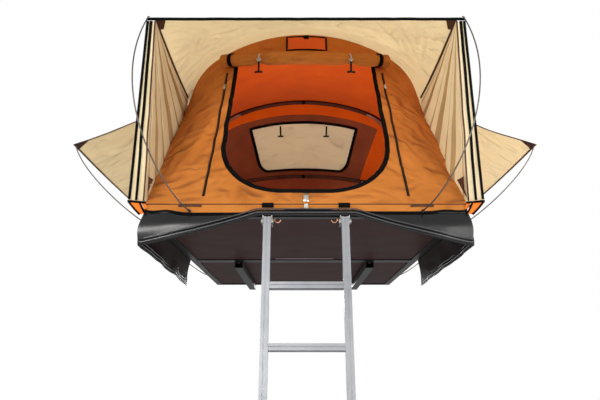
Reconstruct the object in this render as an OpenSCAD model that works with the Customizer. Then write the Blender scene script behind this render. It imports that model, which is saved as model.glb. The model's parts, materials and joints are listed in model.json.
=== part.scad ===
// Roof top tent: a fold-out base in two halves, hinged bows, a canvas body, a fly sheet on spring rods,
// a travel cover slung under the front half, and a sliding ladder.
// The origin is the centre of the mounting rails' bolt pattern, on the rails' lower face.
// +Z is up and the ladder side faces -Y. The rear half sits on the rails, the front half overhangs.

/* [Base] */
// Width of the base across the tent
base_w = 1400; // [1300:10:1600]
// Length of one base half, front to back
half_l = 1262; // [1240:2:1400]
// Thickness of the base
base_t = 50; // [40:1:70]
// Width of the edge frame extrusion
frame_w = 40; // [25:1:60]
// Recess of the board below the edge frame's lower face
board_recess = 5; // [0:1:10]
// Gap between the two base halves at the fold
split_gap = 4; // [2:1:8]

/* [Mounting rails] */
// Height of a mounting rail
rail_h = 40; // [30:1:60]
// Width of a mounting rail
rail_w = 50; // [40:1:80]
// Wall of a mounting rail
rail_wall = 4; // [3:0.5:6]
// Distance between the two rails
rail_spacing = 820; // [600:10:1000]
// Length of a mounting rail
rail_l = 1240; // [1200:5:1240]
// Distance between the two crossbar bolt rows
bar_spacing = 800; // [600:10:1000]
// Diameter of a crossbar bolt hole
bar_hole_d = 9; // [6:0.5:12]
// Diameter of the screws that hold the rails
rail_screw_d = 8; // [5:0.5:10]

/* [Fold hinge] */
// Height of the hinge pin above the base
pivot_rise = 124; // [115:1:150]
// Diameter of the hinge pin
hinge_pin_d = 12; // [8:0.5:16]
// Thickness of a hinge plate
plate_t = 6; // [4:0.5:10]
// Length of a hinge plate along the base
plate_l = 150; // [120:1:200]
// Running clearance on every pin, on the radius
pin_clear = 0.05; // [0.02:0.01:0.1]
// Gap between pieces that turn past each other
side_gap = 1; // [0.5:0.1:3]

/* [Bows] */
// Diameter of the bow tube
tube_d = 25; // [22:1:26]
// Reach of a bow from its pivot to its crown
bow_reach = 1202; // [1100:2:1202]
// Radius of a bow's shoulder at the tube's centre
bow_shoulder = 355; // [250:5:400]
// Radius of a bow's crown at the tube's centre
bow_crown = 946; // [800:2:1200]
// Diameter of the sleeves at a bow's joints
sleeve_d = 29; // [28.5:0.1:29.4]
// Length of a sleeve at a bow's joints
sleeve_l = 44; // [30:1:60]
// Distance of the rear bow legs from the middle
bow_half = 620; // [560:5:620]
// Diameter of a bow pivot pin
bow_pin_d = 10; // [8:0.5:12]
// Set-back of the outer bow pivots from the fold
bow_setback = 45; // [40:1:60]
// Drop of the outer bow pivots below the hinge pin
bow_drop = 30; // [30:1:36]
// Angle of the front bow above the front half
front_bow_angle = 61; // [52:1:70]
// Angle of the rear bow above the rear half
rear_bow_angle = 66; // [58:1:75]
// Angle of the low rear bow above the rear half
low_bow_angle = 36; // [28:0.5:42]

/* [Mattress] */
// Thickness of the mattress
mattress_t = 60; // [40:1:60]
// Crown of the mattress above its seam line
mattress_crown = 6; // [2:1:8]
// Gap between the mattress and the hinge plates' pins
mattress_gap = 12; // [10:1:40]
// Inset of the mattress from the base's ends
mattress_inset = 50; // [45:1:120]

/* [Fabric] */
// Thickness of the canvas and the fly as solids
cloth_t = 3; // [2:0.5:5]
// Stand-off of the canvas from the bow tubes
canvas_gap = 7; // [4:0.5:12]
// Stand-off of the hem from the base's edge
hem_gap = 0.3; // [0.2:0.1:1]
// Height of the hem that hangs over the base's edge
hem_h = 18; // [12:1:18]
// Stand-off of the fly from the canvas
fly_gap = 14; // [10:1:40]
// Height of the fly's front pole above the base
porch_rise = 816; // [700:2:950]
// Overhang of the fly's front pole past the base's front edge
porch_out = 150; // [100:2:220]
// Length of the fly's front pole
porch_w = 1410; // [1360:2:1600]
// Diameter of the fly's front pole
porch_pole_d = 12; // [10:1:25]
// Depth of the folds in the porch sides
pleat_depth = 14; // [4:1:20]
// Count of folds in a porch side
pleat_count = 7; // [3:1:9]
// Width of the flat band at the front of a porch side
porch_band = 36; // [10:2:60]
// Reach of a side awning's tips from the middle
awning_reach = 1224; // [1050:2:1300]
// Height of a side awning's tips above the base
awning_rise = 454; // [350:2:520]
// Distance of an awning's tips from the base's ends
awning_inset = 500; // [400:10:560]

/* [Spring rods] */
// Diameter of a spring rod
rod_d = 6; // [5:0.5:8]
// Distance of the front rod sockets from the middle
front_rod_x = 504; // [300:2:540]
// Forward bow of the front rods
front_rod_bow = 300; // [150:10:400]
// Outer diameter of a rod socket
socket_d = 13; // [10:1:13]
// Length of a rod socket outside the base
socket_l = 14; // [8:1:20]

/* [Travel cover] */
// Thickness of the cover sheet
cover_t = 3; // [2:0.5:5]
// Width that the cover hangs out from the base's edge
cover_out = 17; // [12:1:30]
// Drop of the cover's zip line below the base at the front corners
cover_corner_drop = 118; // [60:1:140]
// Rise of the cover's lower edge above the base's underside in the middle
cover_mid_rise = 11; // [10:0.5:12]
// Drop of the cover's side flaps below the base at the fold
cover_fold_drop = 146; // [100:1:200]
// Diameter of the cover's zip cord
zip_d = 8; // [5:1:9]

/* [Ladder] */
// Width of the ladder over its stiles
ladder_w = 364; // [300:1:450]
// Lean of the ladder from the upright
ladder_lean = 13; // [5:0.5:25]
// Length of one ladder section
section_l = 1190; // [1150:10:1300]
// Distance from the ladder's pivot to its first rung
first_rung = 290; // [220:1:300]
// Distance between rungs
rung_pitch = 252; // [200:1:256]
// Rungs in one section
rung_count = 4; // [3:1:4]
// Width of a stile
stile_w = 32; // [24:1:40]
// Depth of a stile
stile_d = 32; // [24:1:45]
// Depth of the groove along a stile and a rung
groove = 3; // [1:0.5:5]
// Wall of the stile and rung tubes
tube_wall = 2.5; // [1.5:0.5:3]
// Height and depth of a rung
rung_s = 28; // [20:1:30]
// Diameter of the ladder's pivot pin
ladder_pin_d = 10; // [8:0.5:14]
// Set-out of the ladder's pivot from the base's front edge
ladder_out = 34; // [30:1:60]
// Drop of the ladder's pivot below the base
ladder_drop = 26; // [22:1:40]
// Thickness of the ladder brackets
bracket_t = 4; // [3:0.5:6]
// Height of a ladder foot
foot_h = 26; // [15:1:40]

/* [Hidden] */
$fn = 48;
eps = 0.3;

// Levels and lines that the pieces share
base_z = rail_h;
top_z = base_z + base_t;
hinge_y = -half_l / 2;
rear_y = half_l / 2;
front_y = hinge_y - half_l;
pivot_z = top_z + pivot_rise;
half_w = base_w / 2;
low_pivot_z = pivot_z - bow_drop;
front_pivot_y = hinge_y - bow_setback;
low_pivot_y = hinge_y + bow_setback;

// Across the tent, from the rear bows outwards: lug, rear plate, front plate, front bow's lug
lug_w = tube_d;
lug_r = tube_d * 0.64;
rear_plate_x = bow_half + lug_w / 2 + side_gap;
front_plate_x = rear_plate_x + plate_t + side_gap;
front_bow_half = front_plate_x + plate_t + side_gap + lug_w / 2;
plate_nose_r = 18;
pin_head_t = 5;
pin_head_r = 10;

// Canvas: the body stands off the bows and its hem hangs outside the base
skin = tube_d / 2 + canvas_gap;
front_skin_half = front_bow_half + skin;
rear_skin_half = bow_half + skin + 22;
skin_reach = bow_reach + skin;
hem_x = half_w + hem_gap;
hem_top_z = top_z + 8;
hem_low_z = hem_top_z - hem_h - 8;
cover_top_z = hem_low_z - socket_d - 3.4;
leg_steps = 3;
arc_steps = 4;
top_steps = 12;
bow_steps = 2 * leg_steps + 2 * arc_steps + top_steps;
row_points = bow_steps + 3;
last_point = row_points - 1;
shoulder = 1 + leg_steps + 1;
foot_rise = 8;
door_column = 1 + leg_steps + arc_steps + 1;
window_column = 1 + leg_steps + arc_steps + 1;

awning_front_y = front_y + awning_inset;
awning_rear_y = rear_y - awning_inset;
awning_z = top_z + awning_rise;
porch_y = front_y - porch_out;
porch_z = top_z + porch_rise;

// Ladder
ladder_y = front_y - ladder_out;
ladder_z = base_z - ladder_drop;
stile_x = ladder_w / 2 - stile_w / 2;
section_gap = 1;
extension = rung_pitch * rung_count;

// Small geometry helpers
function unit(v) = v / norm(v);
function mix(a, b, s) = a + (b - a) * s;
function bezier(p, s) =
    (1 - s) ^ 3 * p[0] + 3 * (1 - s) ^ 2 * s * p[1] + 3 * (1 - s) * s ^ 2 * p[2] + s ^ 3 * p[3];
function smooth(s) = s * s * (3 - 2 * s);

// A bow's outline: a straight leg, a tight shoulder and a flat crown that meet in line
function shoulder_angle(half, shoulder_r, crown_r) = acos((half - shoulder_r) / (crown_r - shoulder_r));
function leg_length(half, reach, shoulder_r, crown_r) =
    reach - crown_r + (crown_r - shoulder_r) * sin(shoulder_angle(half, shoulder_r, crown_r));

// One point of the skin over a bow: x across the tent and r along the bow from its pivot
function bow_xr(i, half, reach, grow) =
    let (sr = bow_shoulder + grow, cr = bow_crown + grow, a = shoulder_angle(half, sr, cr),
         leg = leg_length(half, reach, sr, cr))
    i <= leg_steps ? [-half, mix(tube_d * 2, leg, i / leg_steps)] :
    i <= leg_steps + arc_steps ?
        let (t = a * (i - leg_steps) / arc_steps) [-(half - sr) - sr * cos(t), leg + sr * sin(t)] :
    i <= leg_steps + arc_steps + top_steps ?
        let (t = mix(a, 180 - a, (i - leg_steps - arc_steps) / top_steps))
            [-cr * cos(t), reach - cr + cr * sin(t)] :
        let (m = bow_xr(bow_steps - i, half, reach, grow)) [-m[0], m[1]];

// A row of canvas points over one bow, with a foot on the hem at each side
function bow_row(half, grow, angle, py, pz, foot_y) = concat(
    [[-hem_x, foot_y, hem_top_z + foot_rise]],
    [for (i = [0:bow_steps])
        let (q = bow_xr(i, half + grow, bow_reach + grow, grow))
        [q[0], py + q[1] * cos(angle), pz + q[1] * sin(angle)]],
    [[hem_x, foot_y, hem_top_z + foot_rise]]);

function front_bow_row(out = 0) =
    bow_row(front_bow_half, skin + out, 180 - front_bow_angle, front_pivot_y, low_pivot_z, front_pivot_y);
function rear_bow_row(out = 0) =
    bow_row(rear_skin_half - skin, skin + out, rear_bow_angle, hinge_y, pivot_z, hinge_y + 20);
function low_bow_row(out = 0) =
    bow_row(rear_skin_half - skin, skin + out, low_bow_angle, low_pivot_y, low_pivot_z, low_pivot_y + 10);

// The base's edge from one bow foot round the end to the other foot, with as many points as a bow row
function edge_row(foot_y, end_y, z) = [for (k = [0:last_point])
    let (m = min(k, last_point - k), side = k < last_point / 2 ? -1 : 1)
    m <= shoulder ? [side * hem_x, mix(foot_y, end_y, m / shoulder), z] :
        [mix(-hem_x, hem_x, (k - shoulder) / (last_point - 2 * shoulder)), end_y, z]];

function ruled(a, b, s) = [for (k = [0:len(a) - 1]) mix(a[k], b[k], s)];
function cut_row(a, b, y) = [for (k = [0:len(a) - 1])
    let (s = (y - a[k][1]) / (b[k][1] - a[k][1])) mix(a[k], b[k], max(0, min(1, s)))];

// Normal of a grid at one point, from its neighbours
function grid_normal(g, j, k) =
    let (u = g[j][min(k + 1, len(g[0]) - 1)] - g[j][max(k - 1, 0)],
         v = g[min(j + 1, len(g) - 1)][k] - g[max(j - 1, 0)][k])
    unit(cross(u, v));

function offset_grid(g, d) = [for (j = [0:len(g) - 1])
    [for (k = [0:len(g[0]) - 1]) g[j][k] + d * grid_normal(g, j, k)]];

// A sheet of cloth as a closed solid: a grid of points, a thickness, and a test that says which cells are open.
// The grid is its lower face and the thickness is laid on along the grid's normals.
module cloth(grid, t = cloth_t, open = function (j, k) false) {
    rows = len(grid);
    cols = len(grid[0]);
    other = offset_grid(grid, t);
    at = function (j, k) j * cols + k;
    far = function (j, k) rows * cols + j * cols + k;
    solid = function (j, k) j >= 0 && k >= 0 && j < rows - 1 && k < cols - 1 && !open(j, k);
    cells = [for (j = [0:rows - 2]) for (k = [0:cols - 2]) if (solid(j, k)) [j, k]];
    faces = concat(
        [for (c = cells) [at(c[0], c[1]), at(c[0], c[1] + 1), at(c[0] + 1, c[1] + 1)]],
        [for (c = cells) [at(c[0], c[1]), at(c[0] + 1, c[1] + 1), at(c[0] + 1, c[1])]],
        [for (c = cells) [far(c[0], c[1]), far(c[0] + 1, c[1] + 1), far(c[0], c[1] + 1)]],
        [for (c = cells) [far(c[0], c[1]), far(c[0] + 1, c[1]), far(c[0] + 1, c[1] + 1)]],
        [for (c = cells) if (!solid(c[0] - 1, c[1]))
            for (f = wall(at(c[0], c[1]), at(c[0], c[1] + 1), far(c[0], c[1]), far(c[0], c[1] + 1))) f],
        [for (c = cells) if (!solid(c[0] + 1, c[1]))
            for (f = wall(at(c[0] + 1, c[1] + 1), at(c[0] + 1, c[1]),
                          far(c[0] + 1, c[1] + 1), far(c[0] + 1, c[1]))) f],
        [for (c = cells) if (!solid(c[0], c[1] - 1))
            for (f = wall(at(c[0] + 1, c[1]), at(c[0], c[1]), far(c[0] + 1, c[1]), far(c[0], c[1]))) f],
        [for (c = cells) if (!solid(c[0], c[1] + 1))
            for (f = wall(at(c[0], c[1] + 1), at(c[0] + 1, c[1] + 1),
                          far(c[0], c[1] + 1), far(c[0] + 1, c[1] + 1))) f]);
    polyhedron(points = concat([for (r = grid) for (p = r) p], [for (r = other) for (p = r) p]), faces = faces);
}
function wall(a, b, fa, fb) = [[b, a, fa], [b, fa, fb]];

// A round rod along a list of points
module rod(path, d, sides = 8, across = undef) {
    n = len(path);
    tangent = function (i) unit(path[min(i + 1, n - 1)] - path[max(i - 1, 0)]);
    ring = function (i)
        let (t = tangent(i),
             side = unit(cross(t, across != undef ? across : abs(t[2]) > 0.9 ? [0, 1, 0] : [0, 0, 1])),
             up = cross(side, t))
        [for (k = [0:sides - 1]) path[i] + d / 2 * (cos(360 * k / sides) * side + sin(360 * k / sides) * up)];
    points = [for (i = [0:n - 1]) for (p = ring(i)) p];
    faces = concat(
        [[for (k = [0:sides - 1]) k]],
        [[for (k = [sides - 1:-1:0]) (n - 1) * sides + k]],
        [for (i = [0:n - 2]) for (k = [0:sides - 1])
            [i * sides + k, (i + 1) * sides + k, (i + 1) * sides + (k + 1) % sides]],
        [for (i = [0:n - 2]) for (k = [0:sides - 1])
            [i * sides + k, (i + 1) * sides + (k + 1) % sides, i * sides + (k + 1) % sides]]);
    polyhedron(points = points, faces = faces);
}

module both_sides() {
    children();
    mirror([1, 0, 0]) children();
}

module box_between(low, high) {
    translate(low) cube(high - low);
}

// Base
module board(y0, y1) {
    color("dimgray") box_between(
        [-half_w + frame_w, y0 + frame_w, base_z + board_recess],
        [half_w - frame_w, y1 - frame_w, top_z]);
}

module edge_frame(y0, y1) {
    color("silver") {
        both_sides() box_between([half_w - frame_w, y0, base_z], [half_w, y1, top_z]);
        box_between([-half_w + frame_w, y0, base_z], [half_w - frame_w, y0 + frame_w, top_z]);
        box_between([-half_w + frame_w, y1 - frame_w, base_z], [half_w - frame_w, y1, top_z]);
    }
}

module rear_board() { board(hinge_y + split_gap / 2, rear_y); }
module front_board() { board(front_y, hinge_y - split_gap / 2); }
module rear_edge_frame() { edge_frame(hinge_y + split_gap / 2, rear_y); }
module front_edge_frame() { edge_frame(front_y, hinge_y - split_gap / 2); }

// Mounting rails: hollow box rails, open at both ends, with crossbar bolt holes in the lower wall
module mount_rails() {
    color("silver") both_sides() difference() {
        translate([rail_spacing / 2, 0, rail_h / 2]) cube([rail_w, rail_l, rail_h], center = true);
        translate([rail_spacing / 2, 0, rail_h / 2])
            cube([rail_w - 2 * rail_wall, rail_l + 2, rail_h - 2 * rail_wall], center = true);
        for (s = [-1, 1]) translate([rail_spacing / 2, s * bar_spacing / 2, -1])
            cylinder(d = bar_hole_d, h = rail_wall + 2);
    }
}

module rail_screws() {
    screw_y = rail_l / 2 - frame_w / 2;
    color("gray") both_sides() for (y = [-screw_y, 0, screw_y])
        translate([rail_spacing / 2, y, rail_h - rail_wall - rail_screw_d * 0.6])
            cylinder(d = rail_screw_d * 1.6, h = rail_screw_d * 0.6, $fn = 6);
}

// Fold hinge: a plate on each half at each side, on one pin
module hinge_plate(x, direction, bow_y, bow_z) {
    flange = 44;
    difference() {
        union() {
            translate([x, 0, 0]) rotate([90, 0, 90]) linear_extrude(plate_t) polygon([
                [hinge_y - direction * plate_nose_r, pivot_z],
                [hinge_y - direction * plate_nose_r * 0.7, pivot_z + plate_nose_r * 0.7],
                [hinge_y, pivot_z + plate_nose_r],
                [hinge_y + direction * plate_nose_r * 0.8, pivot_z + plate_nose_r * 0.9],
                [hinge_y + direction * plate_l, top_z + 30],
                [hinge_y + direction * plate_l, top_z],
                [hinge_y + direction * 20, top_z],
                [hinge_y + direction * 20, pivot_z - 50]]);
            box_between(
                [x, min(hinge_y + direction * 30, hinge_y + direction * plate_l), top_z],
                [x + flange, max(hinge_y + direction * 30, hinge_y + direction * plate_l), top_z + plate_t]);
        }
        translate([x - 1, hinge_y, pivot_z]) rotate([0, 90, 0])
            cylinder(d = hinge_pin_d + 2 * pin_clear, h = plate_t + 2);
        translate([x - 1, bow_y, bow_z]) rotate([0, 90, 0])
            cylinder(d = bow_pin_d + 2 * pin_clear, h = plate_t + 2);
    }
}

module rear_hinge_plates() {
    color("silver") both_sides() hinge_plate(rear_plate_x, 1, low_pivot_y, low_pivot_z);
}

module front_hinge_plates() {
    color("silver") both_sides() hinge_plate(front_plate_x, -1, front_pivot_y, low_pivot_z);
}

module headed_pin(x0, x1, y, z, d, heads) {
    translate([x0, y, z]) rotate([0, 90, 0]) cylinder(d = d, h = x1 - x0);
    if (heads[0]) translate([x0 - pin_head_t, y, z]) rotate([0, 90, 0]) cylinder(r = pin_head_r, h = pin_head_t);
    if (heads[1]) translate([x1, y, z]) rotate([0, 90, 0]) cylinder(r = pin_head_r, h = pin_head_t);
}

module hinge_pins() {
    color("gray") both_sides() headed_pin(bow_half - lug_w / 2 - eps, front_plate_x + plate_t + eps,
        hinge_y, pivot_z, hinge_pin_d, [true, true]);
}

module rear_bow_pins() {
    color("gray") both_sides() headed_pin(bow_half - lug_w / 2 - eps, rear_plate_x + plate_t,
        low_pivot_y, low_pivot_z, bow_pin_d, [true, false]);
}

module front_bow_pins() {
    color("gray") both_sides() headed_pin(front_plate_x, front_bow_half + lug_w / 2 + eps,
        front_pivot_y, low_pivot_z, bow_pin_d, [false, true]);
}

// A bow: two legs with drilled lugs, two shoulders and a crown, joined in sleeves
module sleeve(x, z, turn) {
    translate([x, 0, z]) rotate([0, turn, 0]) cylinder(d = sleeve_d, h = sleeve_l, center = true);
}

module bow(half, angle, py, pz, pin_d) {
    a = shoulder_angle(half, bow_shoulder, bow_crown);
    leg = leg_length(half, bow_reach, bow_shoulder, bow_crown);
    trim = 0.3;
    bend_fn = 150;
    translate([0, py, pz]) rotate([angle - 90, 0, 0]) difference() {
        union() {
            for (turn = [0, 180]) rotate([0, 0, turn]) {
                translate([half, 0, 0]) cylinder(d = tube_d, h = leg - 1);
                translate([half - lug_w / 2, 0, 0]) rotate([0, 90, 0]) cylinder(r = lug_r, h = lug_w);
                translate([half - bow_shoulder, 0, leg]) rotate([90, 0, 0]) rotate([0, 0, trim])
                    rotate_extrude(angle = a - 2 * trim, $fn = bend_fn)
                        translate([bow_shoulder, 0]) circle(d = tube_d, $fn = 48);
                sleeve(half, leg, 0);
                sleeve(half - bow_shoulder + bow_shoulder * cos(a), leg + bow_shoulder * sin(a), -a);
                translate([0, 0, bow_reach - bow_crown]) rotate([90, 0, 0]) rotate([0, 0, a + trim])
                    rotate_extrude(angle = 90 - a - 2 * trim, $fn = bend_fn)
                        translate([bow_crown, 0]) circle(d = tube_d, $fn = 48);
            }
            sleeve(0, bow_reach, 90);
        }
        translate([-half - tube_d, 0, 0]) rotate([0, 90, 0])
            cylinder(d = pin_d + 2 * pin_clear, h = 2 * (half + tube_d));
    }
}

module rear_bow() { color("silver") bow(bow_half, rear_bow_angle, hinge_y, pivot_z, hinge_pin_d); }
module low_rear_bow() { color("silver") bow(bow_half, low_bow_angle, low_pivot_y, low_pivot_z, bow_pin_d); }
module front_bow() {
    color("silver") bow(front_bow_half, 180 - front_bow_angle, front_pivot_y, low_pivot_z, bow_pin_d);
}

// Mattress: a crowned pad with stitched channels across it and sides that draw in
module mattress(y0, y1) {
    half = bow_half - lug_w / 2 - pin_head_t - mattress_gap;
    draw = 5;
    channel_dip = 7;
    channel_half = 16;
    channels = [for (c = [1:3]) mix(y0, y1, c / 4)];
    cols = 10;
    stations = concat([y0, y0 + 60], [for (c = channels) each [c - channel_half, c, c + channel_half]], [y1 - 60, y1]);
    rows = len(stations) - 1;
    dip = function (j) len([for (c = channels) if (abs(stations[j] - c) < 1) c]) > 0 ? channel_dip : 0;
    rise = function (s) 1 - (2 * s - 1) ^ 4;
    crown = function (j, k) mattress_crown * rise(k / cols) * rise((stations[j] - y0) / (y1 - y0));
    flat = function (j, k, z) [mix(-half, half, k / cols), stations[j], z];
    loop = concat(
        [for (k = [0:cols - 1]) [0, k]], [for (j = [0:rows - 1]) [j, cols]],
        [for (k = [cols:-1:1]) [rows, k]], [for (j = [rows:-1:1]) [j, 0]]);
    waist = function (q)
        let (j = q[0], k = q[1], corner = (j == 0 || j == rows) && (k == 0 || k == cols))
        flat(j, k, top_z + mattress_t / 2)
            + (corner ? 0 : draw) * [k == 0 ? 1 : k == cols ? -1 : 0, j == 0 ? 1 : j == rows ? -1 : 0, 0];
    n = (rows + 1) * (cols + 1);
    m = len(loop);
    id = function (j, k) j * (cols + 1) + k;
    points = concat(
        [for (j = [0:rows]) for (k = [0:cols])
            flat(j, k, top_z + mattress_t - mattress_crown + crown(j, k) - dip(j))],
        [for (j = [0:rows]) for (k = [0:cols]) flat(j, k, top_z)],
        [for (q = loop) waist(q)]);
    faces = concat(
        [for (j = [0:rows - 1]) for (k = [0:cols - 1]) [id(j, k), id(j + 1, k + 1), id(j, k + 1)]],
        [for (j = [0:rows - 1]) for (k = [0:cols - 1]) [id(j, k), id(j + 1, k), id(j + 1, k + 1)]],
        [for (j = [0:rows - 1]) for (k = [0:cols - 1]) [n + id(j, k), n + id(j, k + 1), n + id(j + 1, k + 1)]],
        [for (j = [0:rows - 1]) for (k = [0:cols - 1]) [n + id(j, k), n + id(j + 1, k + 1), n + id(j + 1, k)]],
        [for (q = [0:m - 1]) let (a = loop[q], b = loop[(q + 1) % m])
            [id(a[0], a[1]), id(b[0], b[1]), 2 * n + (q + 1) % m]],
        [for (q = [0:m - 1]) let (a = loop[q]) [id(a[0], a[1]), 2 * n + (q + 1) % m, 2 * n + q]],
        [for (q = [0:m - 1]) let (b = loop[(q + 1) % m]) [2 * n + q, 2 * n + (q + 1) % m, n + id(b[0], b[1])]],
        [for (q = [0:m - 1]) let (a = loop[q], b = loop[(q + 1) % m])
            [2 * n + q, n + id(b[0], b[1]), n + id(a[0], a[1])]]);
    color("gainsboro") polyhedron(points = points, faces = faces);
}

module rear_mattress() { mattress(hinge_y + split_gap, rear_y - mattress_inset); }
module front_mattress() { mattress(front_y + mattress_inset, hinge_y - split_gap); }

// Canvas body
front_edge = edge_row(front_pivot_y - 24, front_y - hem_gap, hem_top_z);
rear_edge = edge_row(low_pivot_y + 34, rear_y + hem_gap, hem_top_z);
function lowered(row) = [for (p = row) [p[0], p[1], hem_low_z]];
wall_steps = [0, 0.06, 0.13, 0.21, 0.3, 0.46, 0.63, 0.79, 0.9, 1];
door_first = 2;
door_end = 8;
front_roof_seam = cut_row(front_bow_row(), rear_bow_row(), hinge_y - split_gap / 2);
rear_roof_seam = cut_row(front_bow_row(), rear_bow_row(), hinge_y + split_gap / 2);

front_canvas_grid = concat(
    [lowered(front_edge)],
    [for (s = wall_steps) ruled(front_edge, front_bow_row(), s)],
    [ruled(front_bow_row(), front_roof_seam, 0.5), front_roof_seam]);
rear_window_steps = [0.26, 0.58, 0.9];
rear_canvas_grid = concat(
    [rear_roof_seam, ruled(rear_roof_seam, rear_bow_row(), 0.5), rear_bow_row()],
    [for (s = rear_window_steps) ruled(rear_bow_row(), low_bow_row(), s)],
    [low_bow_row(), ruled(low_bow_row(), rear_edge, 0.5), rear_edge, lowered(rear_edge)]);

// The door's lower corners step in, row by row
function door_in(j) = max(0, 3 - (j - door_first));
function in_door(j, k) =
    j >= door_first && j < door_end && k >= door_column + door_in(j) && k < last_point - door_column - door_in(j);
function in_window(j, k) = j >= 3 && j < 5 && k >= window_column && k < last_point - window_column;

module front_canvas() { color("peru") cloth(front_canvas_grid, open = function (j, k) in_door(j, k)); }
module rear_canvas() { color("peru") cloth(rear_canvas_grid, open = function (j, k) in_window(j, k)); }

// The panel that fills the rear window, from the same grid points
module rear_window() {
    columns = [for (k = [window_column:last_point - window_column]) k];
    color("tan") cloth([for (j = [3:5]) [for (k = columns) rear_canvas_grid[j][k]]]);
}

// The front wall as a function: column k, which may lie between two columns, and height s from the edge to the bow
function edge_at(row, k) = let (a = floor(min(k, last_point - 1))) mix(row[a], row[a + 1], k - a);
function front_wall(k, s) = mix(edge_at(front_edge, k), edge_at(front_bow_row(), k), s);
function front_out(k, s) = unit(cross(
    front_wall(k + 0.5, s) - front_wall(k - 0.5, s), front_wall(k, s + 0.02) - front_wall(k, s - 0.02)));
middle = last_point / 2;
roll_step = 0.785;
roll_r = 37;
skin_touch = 1.5;
function wall_rise(k) = edge_at(front_bow_row(), k)[2] - hem_top_z;
function roll_s(k) = (roll_step + 0.037 * ((k - middle) / 6) ^ 2) * wall_rise(middle) / wall_rise(k);
function roll_centre(k) = front_wall(k, roll_s(k)) + (cloth_t + roll_r + skin_touch) * front_out(k, roll_s(k));
roll_path = [for (k = [door_column - 0.7:0.76:last_point - door_column + 0.71]) roll_centre(k)];

// The rolled-up door and the straps and toggles that hold it
module door_roll() { color("peru") rod(roll_path, 2 * roll_r, 12); }

module door_straps() {
    strap_columns = [door_column - 0.1, middle - 2.8, middle + 2.8, last_point - door_column + 0.1];
    strap_d = 6;
    color("black") for (k = strap_columns) {
        n = front_out(k, roll_s(k));
        up = unit(front_wall(k, roll_s(k)) - front_wall(k, roll_s(k) - 0.1));
        centre = roll_centre(k);
        wrap = roll_r + strap_d / 2 + 2.4 * skin_touch;
        rod([for (t = [-60:20:100]) centre + wrap * (cos(t) * n - sin(t) * up)], strap_d, 6, [1, 0, 0]);
    }
}

// A bound edge round the door: down one side, round the sill and up the other
function door_u(side, m) =
    let (round_s = 0.24, round_k = 3, low = 0.06, high = 0.75,
         k = m > 0.45 ? middle - door_column : m > 0.2 ?
             middle - door_column - round_k * (1 - sin(90 * (m - 0.2) / 0.25)) :
             (middle - door_column - round_k) * m / 0.2,
         s = m > 0.45 ? mix(low + round_s, high, (m - 0.45) / 0.55) : m > 0.2 ?
             low + round_s * (1 - cos(90 * (m - 0.2) / 0.25)) : low)
    [middle + side * k, s];
module door_binding() {
    binding_d = 9;
    turns = concat([for (m = [1:-0.05:0.01]) [-1, m]], [for (m = [0:0.05:1.01]) [1, m]]);
    track = [for (q = turns)
        let (u = door_u(q[0], q[1]))
        front_wall(u[0], u[1]) + (cloth_t + binding_d / 2 + skin_touch) * front_out(u[0], u[1])];
    color("black") rod(track, binding_d, 6, front_out(middle, 0.5));
}

// The door's zips lean in, from the sill to the roll
zip_low = [door_column - 0.8, 0.04];
zip_high = [door_column - 0.2, 0.74];
zip_stand = cloth_t + 2.6;
function zip_point(side, q) =
    let (k = side < 0 ? q[0] : last_point - q[0])
    front_wall(k, q[1]) + zip_stand * front_out(k, q[1]);

module door_zip(side) { color("black") rod([zip_point(side, zip_low), zip_point(side, zip_high)], 3, 6); }
module door_zip_left() { door_zip(-1); }
module door_zip_right() { door_zip(1); }

slider_l = 14;
slider_stand = 4;
module zip_slider(side) {
    a = zip_point(side, zip_high);
    along = unit(zip_point(side, zip_low) - a);
    mean_k = (zip_low[0] + zip_high[0]) / 2;
    out = front_out(side < 0 ? mean_k : last_point - mean_k, (zip_low[1] + zip_high[1]) / 2);
    start = a + 6 * along + slider_stand * out;
    color("silver") {
        rod([start, start + slider_l * along], 4, 8);
        rod([start + (slider_l + 1) * along, start + 2.6 * slider_l * along], 3, 6);
    }
}
module zip_slider_left() { zip_slider(-1); }
module zip_slider_right() { zip_slider(1); }

// The vent panel above the door
module vent_panel() {
    columns = [for (c = [-1.3, -1, 0, 1, 1.3]) middle + c];
    color("chocolate") cloth([for (s = [0.9, 0.945, 0.985])
        [for (k = columns) front_wall(k, s) + (cloth_t + skin_touch) * front_out(k, s)]], 2);
}

// Hook-and-loop tabs and a pull buckle on the hem under the door
module sill_tabs() {
    tab_x = 166;
    tab_w = 48;
    face_y = front_y - hem_gap - cloth_t - 0.4;
    color("black") both_sides() box_between(
        [tab_x - tab_w / 2, face_y - 3, hem_low_z + 2], [tab_x + tab_w / 2, face_y, hem_top_z - 4]);
    color("silver") box_between([-9, face_y - 4, hem_low_z], [9, face_y, hem_top_z - 2]);
}

// Fly sheet over the roof, from shoulder to shoulder
fly_out = cloth_t + fly_gap;
fly_columns = [for (k = [shoulder:last_point - shoulder]) k];
function picked(row) = [for (k = fly_columns) row[k]];
fly_last = len(fly_columns) - 1;
fly_front = picked(front_bow_row(fly_out));
fly_rear = picked(rear_bow_row(fly_out));
fly_low = picked(low_bow_row(fly_out));
fly_front_seam = cut_row(fly_front, fly_rear, hinge_y - split_gap / 2);
fly_rear_seam = cut_row(fly_front, fly_rear, hinge_y + split_gap / 2);
pole_row = [for (k = [0:len(fly_columns) - 1])
    [(porch_w / 2 - porch_band) * mix(-1, 1, k / (len(fly_columns) - 1)),
     porch_y, porch_z + porch_pole_d / 2 + 0.4]];

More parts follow.
